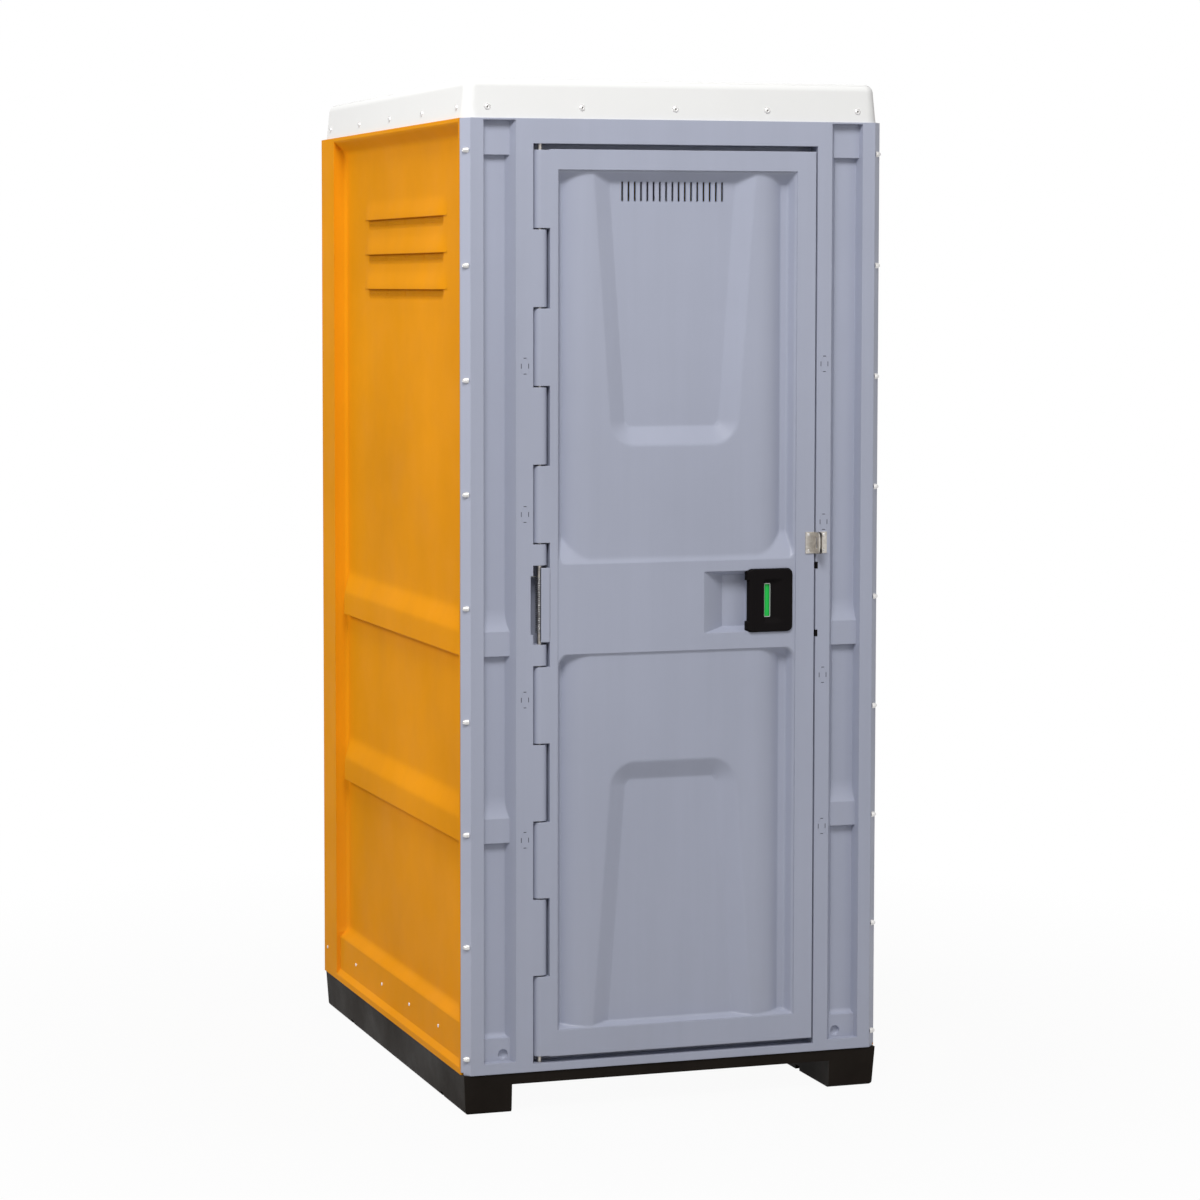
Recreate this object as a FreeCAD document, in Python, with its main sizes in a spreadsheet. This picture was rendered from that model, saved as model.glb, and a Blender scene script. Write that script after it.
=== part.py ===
import FreeCAD, Part
import math
import os

import Sketcher
from FreeCAD import Rotation, Vector

# A portable toilet cabin: moulded wall panels on a skid pallet, a hinged door
# with a slide lock, and the tank, seat and fittings inside.
# Frame: origin on the floor under the middle of the cabin, +X to the right of
# someone facing the door, +Y to the back, +Z up. Lengths in millimetres.

doc = FreeCAD.newDocument("ToiletCabin")

# Driving sizes

SIZES = {
    # whole cabin
    "cabin_width": 1000,
    "cabin_depth": 1200,
    "base_height": 90,
    "wall_top": 2213,
    "skin": 4,
    "seat_gap": 0.3,
    "wide_sides": 16,
    "slim_sides": 12,
    # skid pallet and floor
    "base_inset": 3,
    "base_taper": 5,
    "deck_thick": 26,
    "deck_skin": 8,
    "skid_width": 108,
    "skid_rim": 13,
    "skid_round": 9,
    "skid_cells": 4,
    "deck_rib": 6,
    "deck_cells": 2,
    "foot_long": 120,
    "foot_bar": 26,
    "strap_slot_wide": 22,
    "strap_slot_high": 11,
    "strap_slot_front": 410,
    "strap_slot_rear": 361,
    "upstand_height": 100,
    "floor_skin": 5,
    "tread_height": 2.5,
    "tread_wide": 26,
    "tread_long": 300,
    "tread_rows": 8,
    "tread_pitch": 58,
    "tread_front": 60,
    # panels
    "panel_depth": 45,
    "front_lap": 19,
    "rear_lap": 8,
    "frame_depth": 60,
    "flange_inset": 16,
    "flange_rise": 49,
    "field_depth": 33,
    "field_draft": 2,
    "front_rim": 10,
    "rear_rim": 112,
    "back_rim": 60,
    "top_lip": 8,
    "top_slope": 30,
    "band_depth": 10,
    "band_top": 198,
    "band_slope": 25,
    "bottom_lip": 14,
    "lip_slope": 13,
    "rib_low_top": 662,
    "rib_high_top": 1080,
    "rib_face": 55,
    "rib_scoop": 48,
    "wall_rib_rise": 20,
    "wall_rib_end": 34,
    # louvres in the side walls
    "louvre_count": 3,
    "louvre_lip": 2005,
    "louvre_pitch": 83.5,
    "louvre_long": 650,
    "louvre_shift": 38,
    "louvre_rise": 20,
    "louvre_hood": 50,
    "louvre_edge": 7,
    "louvre_end": 16,
    "louvre_open": 17,
    "louvre_bars": 4,
    "louvre_bar": 8,
    # door frame
    "opening_left": 336,
    "opening_right": 341,
    "opening_bottom": 108,
    "opening_top": 2158,
    "post_outer": 451,
    "post_inner": 376,
    "post_depth": 28,
    "post_draft_out": 5,
    "post_draft_in": 18,
    "post_foot": 115,
    "block_depth": 16,
    "foot_block_top": 168,
    "head_block_low": 2133,
    "tie_hole_radius": 11,
    "tie_hole_x": 402,
    "tie_hole_z": 131,
    "stop_depth": 42,
    "stop_lap": 15,
    # hinge
    "rod_radius": 5,
    "running_fit": 0.05,
    "knuckle_radius": 16.5,
    "hinge_x": 316.5,
    "knuckle_pitch": 174,
    "knuckle_short": 50,
    "knuckle_gap": 3,
    "closer_z": 1138,
    "rod_engage": 12,
    # closer spring
    "spring_radius": 7.9,
    "spring_wire": 2.6,
    "spring_turns": 10,
    "spring_long": 124,
    "spring_pocket": 131,
    "spring_pocket_deep": 6,
    "cover_width": 21,
    "cover_thick": 3,
    "cover_long": 166,
    # door leaf
    "leaf_gap": 4,
    "leaf_thick": 40,
    "leaf_bottom": 122,
    "leaf_top": 2146,
    "stile_left": 278,
    "stile_right": 292,
    "field_top": 2101,
    "belt_top": 1220,
    "belt_bottom": 1028,
    "belt_sunk": 2.5,
    "field_bottom": 180,
    "field_corner": 34,
    "leaf_field_deep": 29,
    "leaf_bulge_deep": 7,
    "leaf_bulge_half": 196,
    "leaf_valley_half": 262,
    "leaf_side_draft": 13,
    "top_bevel": 29,
    "belt_bevel": 66,
    "under_bevel": 24,
    "foot_bevel": 8,
    "recess_deep": 26,
    "upper_recess_top": 196,
    "upper_recess_low": 150,
    "upper_recess_z": 1489,
    "lower_recess_top": 148,
    "lower_recess_low": 195,
    "lower_recess_z": 778,
    "recess_bevel": 42,
    "recess_corner": 34,
    "vent_slots": 17,
    "vent_pitch": 14.9,
    "vent_slot_wide": 5,
    "vent_slot_high": 44,
    "vent_z": 2055,
    # hand pocket and lock
    "pocket_left": 66,
    "pocket_right": 183,
    "pocket_low": 1062,
    "pocket_high": 1203,
    "pocket_deep": 33,
    "pocket_bevel": 60,
    "pocket_draft": 12,
    "pocket_round": 14,
    "lock_left": 173,
    "lock_width": 111,
    "lock_low": 1062,
    "lock_height": 143,
    "lock_thick": 11,
    "lock_rise": 3,
    "lock_round": 12,
    "grip_width": 8,
    "grip_ridge": 14,
    "grip_rise": 2,
    "grip_deep": 14,
    "grip_relief": 5,
    "grip_end": 25,
    "dish_left": 215,
    "dish_width": 44,
    "dish_height": 96,
    "dish_deep": 8,
    "slit_width": 14,
    "slit_height": 75,
    "dish_slope": 20,
    "case_inset": 9,
    "case_wall": 3,
    "case_deep": 24,
    "bolt_throw": 18,
    "bolt_left": 199,
    "flag_thick": 2,
    "flag_gap": 0.5,
    "bolt_high": 24,
    "bolt_thick": 8,
    "bolt_y": 22,
    "bolt_fit": 0.5,
    "knob_x": 231,
    "knob_neck": 12,
    "knob_wide": 22,
    "knob_high": 46,
    "knob_rise": 20,
    "strike_high": 170,
    "strike_ear": 15,
    "strike_thick": 5,
    "strike_deep": 38,
    # hasp
    "hasp_z": 1262,
    "hasp_high": 49,
    "hasp_plate": 23,
    "hasp_thick": 2,
    "hasp_lug": 29,
    "hasp_over": 1,
    "hasp_gap": 6,
    "hasp_slot_wide": 8,
    "hasp_slot_high": 26,
    # roof
    "roof_high": 87,
    "roof_set": 5,
    "roof_taper": 9,
    "roof_corner": 32,
    "roof_round": 20,
    "roof_crown": 24,
    "roof_ridge_width": 572,
    "roof_ridge_depth": 260,
    # rivets
    "rivet_radius": 7.5,
    "rivet_share": 0.42,
    "rivet_sides": 6,
    "small_rivet_radius": 4.2,
    "hasp_rivet_radius": 3.2,
    "corner_rivets": 9,
    "corner_rivet_low": 127,
    "corner_rivet_pitch": 251.9,
    "roof_rivets": 5,
    "roof_rivet_up": 24,
    "roof_rivet_front_pitch": 220,
    "roof_rivet_side_pitch": 267,
    "base_rivets": 5,
    "base_rivet_z": 156,
    "base_rivet_pitch": 236,
    "base_rivet_mid": 97,
    "base_rear_rivets": 4,
    "rear_rivet_in": 18,
    # tank and seat
    "tank_front": 30,
    "tank_side_gap": 3,
    "tank_height": 360,
    "tank_slope": 40,
    "tank_round": 40,
    "tank_skin": 6,
    "pan_radius": 118,
    "pan_y": 265,
    "boss_rise": 12,
    "boss_radius": 165,
    "seat_width": 370,
    "seat_long": 430,
    "seat_hole_width": 220,
    "seat_hole_long": 270,
    "seat_thick": 18,
    "lid_thick": 12,
    "lid_over": 6,
    "lid_gap": 1,
    "lid_open": 93,
    "seat_hinge_back": 245,
    "seat_pin_radius": 5,
    "seat_pin_rise": 16,
    "ear_radius": 10,
    "ear_thick": 16,
    "ear_gap": 0.5,
    "ear_sides": 8,
    "seat_sides": 8,
    "lug_x": 80,
    # vent
    "pipe_radius": 55,
    "pipe_wall": 3,
    "pipe_x": 350,
    "pipe_y": 455,
    "pipe_top": 2326,
    "pipe_dip": 24,
    "cap_radius": 88,
    "cap_gap": 14,
    "cap_skirt": 8,
    # urinal and small fittings
    "urinal_y": -110,
    "urinal_z": 560,
    "urinal_width": 260,
    "urinal_height": 300,
    "urinal_out": 190,
    "urinal_wall": 5,
    "urinal_lip": 70,
    "drain_radius": 16,
    "drain_wall": 3,
    "drain_bend": 60,
    "drain_z": 330,
    "holder_y": -180,
    "holder_z": 760,
    "roll_radius": 55,
    "roll_core": 20,
    "roll_width": 95,
    "roll_gap": 3,
    "holder_plate": 5,
    "hook_y": -330,
    "hook_z": 1650,
    "hook_thick": 6,
    "hook_out": 44,
    "pull_long": 104,
    "pull_rise": 32,
    "pull_thick": 12,
    "pull_wide": 16,
    "pull_round": 14,
}

sheet = doc.addObject("Spreadsheet::Sheet", "Sizes")
for row, (alias, number) in enumerate(SIZES.items(), start=1):
    sheet.set(f"A{row}", alias)
    sheet.set(f"B{row}", str(number))
    sheet.setAlias(f"B{row}", alias)
doc.recompute()


class Size:
    """A length, or a sum of lengths, with the sheet formula that it comes from."""

    def __init__(self, number, text):
        self.number = number
        self.text = text

    def joined(self, other, sign, number):
        return Size(number, f"({self.text} {sign} {as_size(other).text})")

    def __add__(self, other):
        return self.joined(other, "+", self.number + as_size(other).number)

    def __sub__(self, other):
        return self.joined(other, "-", self.number - as_size(other).number)

    def __mul__(self, other):
        return self.joined(other, "*", self.number * as_size(other).number)

    def __truediv__(self, other):
        return self.joined(other, "/", self.number / as_size(other).number)

    def __neg__(self):
        return as_size(0) - self

    def __radd__(self, other):
        return as_size(other) + self

    def __rsub__(self, other):
        return as_size(other) - self

    def __rmul__(self, other):
        return as_size(other) * self


def as_size(value):
    """The value itself where it is a Size, or a plain number as one."""
    if isinstance(value, Size):
        return value
    return Size(float(value), f"{float(value):.6f}")


def span(one, other):
    """Two places in rising order."""
    pair = (as_size(one), as_size(other))
    return tuple(sorted(pair, key=lambda size: size.number))


class Sizes:
    """Every driving size by its name in the sheet."""

    def __init__(self, numbers):
        for alias, number in numbers.items():
            setattr(self, alias, Size(float(number), f"Sizes.{alias}"))


s = Sizes(SIZES)
nodes = []


def count_of(size):
    """A whole number of copies."""
    return max(1, int(round(size.number)))


def bind(item, path, value):
    """Drives a property of an object from the sheet."""
    item.setExpression(path, as_size(value).text)


def place(item, x=0, y=0, z=0, turn=None):
    """Gives an object its place, and its turn where it has one."""
    if turn is not None:
        item.Placement = FreeCAD.Placement(Vector(), turn)
    for axis, value in zip("xyz", (x, y, z)):
        bind(item, f".Placement.Base.{axis}", value)
    return item


def node(label, item):
    """Marks an object as one finished piece of the cabin."""
    item.Label = label
    nodes.append(item)
    return item


# Solids from the sheet

ABOUT_Z = Vector(0, 0, 1)
STAND_UP = Rotation(Vector(1, 0, 0), 90)
ACROSS = Rotation(Vector(1, 1, 1), 120)


def box(name, x, y, z):
    """A block; x, y and z are its low and high ends."""
    block = doc.addObject("Part::Box", name)
    for side, (low, high) in zip(("Length", "Width", "Height"), (x, y, z)):
        bind(block, side, as_size(high) - low)
    return place(block, x[0], y[0], z[0])


def taper(name, y, near, far):
    """A block that runs from one rectangle to another along Y.

    near and far are each (low x, high x, low z, high z), at y[0] and y[1].
    """
    wedge = doc.addObject("Part::Wedge", name)
    ends = {"Ymin": y[0], "Ymax": y[1]}
    ends.update(zip(("Xmin", "Xmax", "Zmin", "Zmax"), near))
    ends.update(zip(("X2min", "X2max", "Z2min", "Z2max"), far))
    for side, value in ends.items():
        bind(wedge, side, value)
    return wedge


def rod(name, radius, length, x=0, y=0, z=0, turn=None):
    """A round bar along Z, or along what its turn makes of Z."""
    bar = doc.addObject("Part::Cylinder", name)
    bind(bar, "Radius", radius)
    bind(bar, "Height", length)
    return place(bar, x, y, z, turn)


def facet_rod(name, sides, radius, length, x=0, y=0, z=0, turn=None):
    """A many-sided bar whose flats touch a circle, placed as a rod is."""
    count = count_of(sides)
    bar = doc.addObject("Part::Prism", name)
    bar.Polygon = count
    bind(bar, "Circumradius", radius / math.cos(math.pi / count))
    bind(bar, "Height", length)
    return place(bar, x, y, z, turn)


def joined(name, *shapes):
    """One solid of several that meet."""
    if len(shapes) == 1:
        return shapes[0]
    fuse = doc.addObject("Part::MultiFuse", name)
    fuse.Shapes = list(shapes)
    return fuse


def cut(name, base, *tools):
    """A solid less its tools."""
    result = doc.addObject("Part::Cut", name)
    result.Base = base
    result.Tool = joined(name + "_tools", *tools)
    return result


def common(name, *shapes):
    """What several solids share."""
    result = doc.addObject("Part::MultiCommon", name)
    result.Shapes = list(shapes)
    return result


def lock_point(sketch, edge, point, x, y, tag):
    """Holds a sketch point at two distances from the sketch's origin."""
    for kind, value in (("DistanceX", x), ("DistanceY", y)):
        size = as_size(value)
        rule = sketch.addConstraint(
            Sketcher.Constraint(kind, -1, 1, edge, point, size.number)
        )
        sketch.renameConstraint(rule, f"{kind}_{tag}")
        sketch.setExpression(f"Constraints.{kind}_{tag}", size.text)


def arc_centre(start, end, radius):
    """The centre of an arc, left of its travel for a radius above nought."""
    chord = end - start
    side = Vector(-chord.y, chord.x, 0)
    side.normalize()
    rise = math.sqrt(max(radius * radius - (chord.Length / 2) ** 2, 0))
    return start + chord * 0.5 + side * math.copysign(rise, radius)


def draw(sketch, points, tag="p"):
    """Draws a closed outline of lines and arcs that the sheet drives.

    A point is (x, y), or (x, y, radius) where an arc runs on to the next point,
    round a centre on its left for a positive radius and on its right otherwise.
    """
    corners = [
        Vector(as_size(p[0]).number, as_size(p[1]).number, 0) for p in points
    ]
    ends = []
    for n, point in enumerate(points):
        start, end = corners[n], corners[(n + 1) % len(points)]
        if len(point) == 2:
            edge = sketch.addGeometry(Part.LineSegment(start, end), False)
            ends.append((edge, 1, 2))
            continue
        radius = as_size(point[2])
        middle = arc_centre(start, end, radius.number)
        circle = Part.Circle(middle, ABOUT_Z, abs(radius.number))
        first, last = (start, end) if radius.number > 0 else (end, start)
        angles = [
            math.atan2(p.y - middle.y, p.x - middle.x) for p in (first, last)
        ]
        edge = sketch.addGeometry(Part.ArcOfCircle(circle, *angles), False)
        ends.append((edge, 1, 2) if radius.number > 0 else (edge, 2, 1))
        rule = sketch.addConstraint(
            Sketcher.Constraint("Radius", edge, abs(radius.number))
        )
        sketch.renameConstraint(rule, f"radius_{tag}{n}")
        away = radius if radius.number > 0 else -radius
        sketch.setExpression(f"Constraints.radius_{tag}{n}", away.text)
    for n, (edge, first, last) in enumerate(ends):
        follower, begin, _ = ends[(n + 1) % len(ends)]
        sketch.addConstraint(
            Sketcher.Constraint("Coincident", edge, last, follower, begin)
        )
    for n, (edge, first, _) in enumerate(ends):
        lock_point(sketch, edge, first, points[n][0], points[n][1], f"{tag}{n}")
    return sketch


def ring(sketch, radius, x=0, y=0, tag="c"):
    """Draws a circle that the sheet drives."""
    size = as_size(radius)
    middle = Vector(as_size(x).number, as_size(y).number, 0)
    edge = sketch.addGeometry(Part.Circle(middle, ABOUT_Z, size.number), False)
    rule = sketch.addConstraint(Sketcher.Constraint("Radius", edge, size.number))
    sketch.renameConstraint(rule, f"radius_{tag}")
    sketch.setExpression(f"Constraints.radius_{tag}", size.text)
    lock_point(sketch, edge, 3, x, y, tag)
    return sketch


def prism(name, points, low, high, along="z"):
    """An outline drawn out along an axis.

    The outline's points are (x, y) along z, (x, z) along y and (y, z) along x.
    """
    sketch = draw(doc.addObject("Sketcher::SketchObject", name + "_outline"), points)
    turn = {"z": Rotation(), "y": STAND_UP, "x": ACROSS}[along]
    place(sketch, **{"turn": turn, along: low})
    solid = doc.addObject("Part::Extrusion", name)
    solid.Base = sketch
    solid.DirMode = "Custom"
    solid.Dir = Vector(*(1.0 if axis == along else 0.0 for axis in "xyz"))
    solid.Solid = True
    bind(solid, "LengthFwd", as_size(high) - low)
    return solid


def loft_between(name, near, near_y, far, far_y):
    """A solid between two outlines of (x, z) points at two depths."""
    sections = []
    for tag, points, depth in (("near", near, near_y), ("far", far, far_y)):
        sketch = doc.addObject("Sketcher::SketchObject", f"{name}_{tag}")
        draw(sketch, points)
        sections.append(place(sketch, y=depth, turn=STAND_UP))
    solid = doc.addObject("Part::Loft", name)
    solid.Sections = sections
    solid.Solid = True
    solid.Ruled = True
    return solid


# Reliefs of the moulded panels. Each panel is drawn facing -Y with its outer
# plane at y = 0. A relief with a back offset is the same shape seen from the
# inner face of the skin: deeper and wider by the skin, and each rib smaller.

half_width = s.cabin_width / 2
half_depth = s.cabin_depth / 2
panel_low = s.base_height
flange_top = s.wall_top + s.flange_rise
foot_width = s.band_depth + s.skin
web_x = half_width - s.panel_depth - 1


def field(name, left, right, back):
    """The sunk field of a wall above its bottom band."""
    deep = s.field_depth + back
    slope = s.top_slope / s.field_depth
    rise = s.band_slope / (s.field_depth - s.band_depth)
    low = s.band_top - rise * s.band_depth - back
    high = s.wall_top - s.top_lip + back
    draft = s.field_draft
    return taper(
        name,
        (-1, deep),
        (left - back - draft / deep, right + back + draft / deep,
         low - rise, high + slope),
        (left - back + draft, right + back - draft,
         low + rise * deep, high - slope * deep),
    )


def band(name, left, right, back):
    """The shallow band along the foot of a wall, above its lip."""
    deep = s.band_depth + back
    low = s.base_height + s.bottom_lip - back
    slope = s.lip_slope / s.band_depth
    return taper(
        name,
        (-1, deep),
        (left - back, right + back, low - slope, s.band_top + 1),
        (left - back, right + back, low + slope * deep, s.band_top + 1),
    )


def wall_rib(name, left, right, top, back):
    """A rib across a wall: flat face, sloped shoulder above, square foot."""
    near = s.field_depth - s.wall_rib_rise + back
    end = s.wall_rib_end
    low = top - s.rib_face
    return taper(
        name,
        (near, s.field_depth + back + 1),
        (left + end + back, right - end - back, low + back, top - back / 2),
        (left + back, right - back, low + back - 1,
         top + s.rib_scoop - back / 2),
    )


def hood(name, middle, lip, back):
    """A louvre's hood, sloping out from the field down to its lip."""
    near = s.field_depth - s.louvre_rise + back
    half = s.louvre_long / 2 - back
    end = s.louvre_end
    return taper(
        name,
        (near, s.field_depth + back + 1),
        (middle - half + end, middle + half - end, lip + back / 2,
         lip + s.louvre_edge),
        (middle - half, middle + half, lip + back / 2, lip + s.louvre_hood),
    )


def louvre_openings(name, middle, lip):
    """The openings under one hood, between upright bars."""
    bars = count_of(s.louvre_bars)
    start = middle - s.louvre_long / 2 + s.louvre_end
    whole = s.louvre_long - s.louvre_end * 2
    width = (whole - s.louvre_bar * (bars - 1)) / bars
    gaps = []
    for n in range(bars):
        left = start + (width + s.louvre_bar) * n
        gaps.append(box(
            f"{name}_{n}", (left, left + width),
            (s.field_depth - 1, s.panel_depth + 1),
            (lip - s.louvre_open, lip + s.skin / 2),
        ))
    return gaps


def floor_trim(name, ends, depth):
    """The room for the floor pan under a panel's foot."""
    return box(
        name, (ends[0] - 1, ends[1] + 1), (foot_width, depth + 1),
        (panel_low - 1, panel_low + s.floor_skin + s.seat_gap),
    )


def upstand_trim(name, side):
    """The room for the floor pan's upstand in the rear wall's end flange."""
    across = span((web_x - s.skin - 1) * side, (web_x + 1) * side)
    return box(
        name, across, (foot_width, foot_width + s.floor_skin + s.seat_gap * 2),
        (panel_low, panel_low + s.upstand_height + s.seat_gap),
    )


def wall_panel(name, ends, rims, lap, louvres):
    """One moulded wall: a skin with a sunk field, ribs, a band and flanges.

    ends are the panel's two ends, rims the ends of its field, and lap the
    solids of its blank and of the hollow behind its skin.
    """
    sides = {}
    for tag, back in (("out", as_size(0)), ("in", s.skin)):
        left, right = rims
        sunk = [
            field(f"{name}_field_{tag}", left, right, back),
            band(f"{name}_band_{tag}", left, right, back),
        ]
        raised = [
            wall_rib(f"{name}_{level}_rib_{tag}", left, right, top, back)
            for level, top in (("low", s.rib_low_top), ("high", s.rib_high_top))
        ]
        if louvres:
            raised += [
                hood(f"{name}_hood_{n}_{tag}", s.louvre_shift,
                     s.louvre_lip - s.louvre_pitch * n, back)
                for n in range(count_of(s.louvre_count))
            ]
        sides[tag] = cut(
            f"{name}_relief_{tag}", joined(f"{name}_sunk_{tag}", *sunk), *raised
        )
    skin = s.skin
    blank = joined(f"{name}_blank", *lap["blank"])
    core = cut(f"{name}_core", joined(f"{name}_hollow", *lap["core"]), sides["in"])
    openings = []
    if louvres:
        for n in range(count_of(s.louvre_count)):
            openings += louvre_openings(
                f"{name}_vent_{n}", s.louvre_shift,
                s.louvre_lip - s.louvre_pitch * n,
            )
    panel = cut(
        f"{name}_skin", blank, sides["out"], core,
        floor_trim(f"{name}_trim", ends, s.panel_depth), *openings,
    )
    flange = box(
        f"{name}_flange", (lap["flange"][0], lap["flange"][1]),
        (s.flange_inset, s.flange_inset + skin), (s.wall_top - skin, flange_top),
    )
    return joined(f"{name}_panel", panel, flange)


def side_wall():
    """The left wall, drawn from outside: its rear end is at low x."""
    ends = (-half_depth + s.rear_lap, half_depth - s.front_lap)
    rims = (-half_depth + s.rear_lap + s.rear_rim - 2, ends[1] - s.front_rim)
    skin = s.skin
    blank = [box("side_blank", ends, (0, s.panel_depth), (panel_low, s.wall_top))]
    hollow = [box(
        "side_inside", (ends[0] + skin, ends[1] - skin),
        (skin, s.panel_depth + 1), (panel_low + skin, s.wall_top - skin),
    )]
    shape = wall_panel(
        "side", ends, rims,
        {"blank": blank, "core": hollow,
         "flange": (ends[0] + s.panel_depth + skin, ends[1] - s.frame_depth)},
        louvres=True,
    )
    return place(
        node("left_wall", shape), x=-half_width,
        turn=Rotation(ABOUT_Z, -90),
    )


def back_wall():
    """The rear wall, whose outer sheet laps the ends of both side walls."""
    inner = web_x
    skin = s.skin
    blank = [
        box("back_sheet", (-half_width, half_width), (0, s.rear_lap - s.seat_gap),
            (panel_low, s.wall_top)),
        box("back_blank", (-inner, inner), (0, s.panel_depth),
            (panel_low, s.wall_top)),
    ]
    hollow = [box(
        "back_inside", (-inner + skin, inner - skin),
        (skin, s.panel_depth + 1), (panel_low + skin, s.wall_top - skin),
    )]
    rims = (-half_width + s.back_rim, half_width - s.back_rim)
    panel = wall_panel(
        "back", (-half_width, half_width), rims,
        {"blank": blank, "core": hollow, "flange": (skin - inner, inner - skin)},
        louvres=False,
    )
    shape = cut(
        "back_trimmed", panel,
        upstand_trim("upstand_room_left", -1), upstand_trim("upstand_room_right", 1),
    )
    return place(
        node("rear_wall", shape), y=half_depth, turn=Rotation(ABOUT_Z, 180)
    )


left_wall = side_wall()
right_wall = doc.addObject("Part::Mirroring", "right_side")
right_wall.Source = left_wall
right_wall.Normal = Vector(1, 0, 0)
node("right_wall", right_wall)
back_wall()


# Front frame, hinge and door share one local frame: y = 0 is the front plane.

leaf_left = -(s.hinge_x - s.knuckle_radius - s.knuckle_gap)
leaf_right = s.opening_right - s.leaf_gap
knuckle_back = s.knuckle_radius * 2
door_end_gap = s.knuckle_gap / 2
bolt_z = (s.pocket_low + s.pocket_high) / 2


def knuckle_spans():
    """The hinge's knuckles from top to bottom, as (owner, low, high)."""
    closer_top = s.closer_z + s.knuckle_pitch / 2
    closer_foot = s.closer_z - s.knuckle_pitch / 2
    spans = []
    for up in (1, -1):
        edge = closer_top if up > 0 else closer_foot
        limit = s.leaf_top if up > 0 else s.leaf_bottom
        owner = "frame"
        step = s.knuckle_short
        while True:
            far = edge + step * up
            room = (limit.number - far.number) * up
            last = room < s.knuckle_pitch.number / 2
            if last:
                far = limit
            spans.append((owner, *span(edge, far)))
            if last:
                break
            edge, step = far, s.knuckle_pitch
            owner = "door" if owner == "frame" else "frame"
    return spans


def knuckle(name, owner, low, high):
    """One knuckle: a round barrel on the rod with a flat neck to its owner."""
    if owner == "frame":
        neck = (-s.opening_left - 1, -s.hinge_x)
    else:
        neck = (-s.hinge_x, leaf_left + 1)
    low, high = low + door_end_gap, high - door_end_gap
    return joined(
        name,
        box(f"{name}_neck", neck, (0, knuckle_back), (low, high)),
        rod(f"{name}_barrel", s.knuckle_radius, high - low,
            -s.hinge_x, s.knuckle_radius, low),
    )


def post_channel(name, side, back):
    """The upright channel down one corner post."""
    deep = s.post_depth + back
    near = span((s.post_outer + back) * side, (s.post_inner - back) * side)
    far = span(
        (s.post_outer - s.post_draft_out + back) * side,
        (s.post_inner + s.post_draft_in - back) * side,
    )
    ends = (s.post_foot - back, s.wall_top - s.skin)
    return taper(name, (0, deep), (*near, *ends), (*far, *ends))


def post_block(name, low, top, scoop, back):
    """A block across the channels, with a scooped shoulder above its face."""
    rise = s.post_depth - s.block_depth
    near, far = s.block_depth + back, s.post_depth + back
    radius = (scoop * scoop + rise * rise) / (rise * 2)
    shoulder = top - back / 2
    points = [
        (near, low + back), (far + 1, low + back),
        (far + 1, shoulder + scoop), (far, shoulder + scoop, -radius),
        (near, shoulder),
    ]
    return prism(name, points, -half_width, half_width, along="x")


def post_relief(tag, back):
    """Both posts' channels less their blocks."""
    channels = [
        post_channel(f"channel_{side + 1}_{tag}", side, back) for side in (-1, 1)
    ]
    blocks = [
        post_block(f"post_rib_{level}_{tag}", top - s.rib_face, top, s.rib_scoop, back)
        for level, top in (("low", s.rib_low_top), ("high", s.rib_high_top))
    ]
    blocks.append(post_block(
        f"foot_block_{tag}", s.post_foot - s.skin * 3, s.foot_block_top,
        s.post_depth - s.block_depth, back,
    ))
    blocks.append(box(
        f"head_block_{tag}", (-half_width, half_width),
        (s.block_depth + back, s.post_depth + back + 1),
        (s.head_block_low + back, s.wall_top + 1),
    ))
    return cut(f"post_relief_{tag}", joined(f"channels_{tag}", *channels), *blocks)


def corner_hollow(name, side):
    """The hollow behind one chamfered corner, open to the side wall."""
    lap, skin = s.front_lap, s.skin
    slant = skin * (math.sqrt(2) - 1)
    points = [
        ((half_width - lap - slant) * side, skin),
        (web_x * side, skin),
        (web_x * side, lap + 1),
        ((half_width + 1 - skin * math.sqrt(2)) * side, lap + 1),
    ]
    return prism(name, points, panel_low + skin, s.wall_top - skin)


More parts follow.
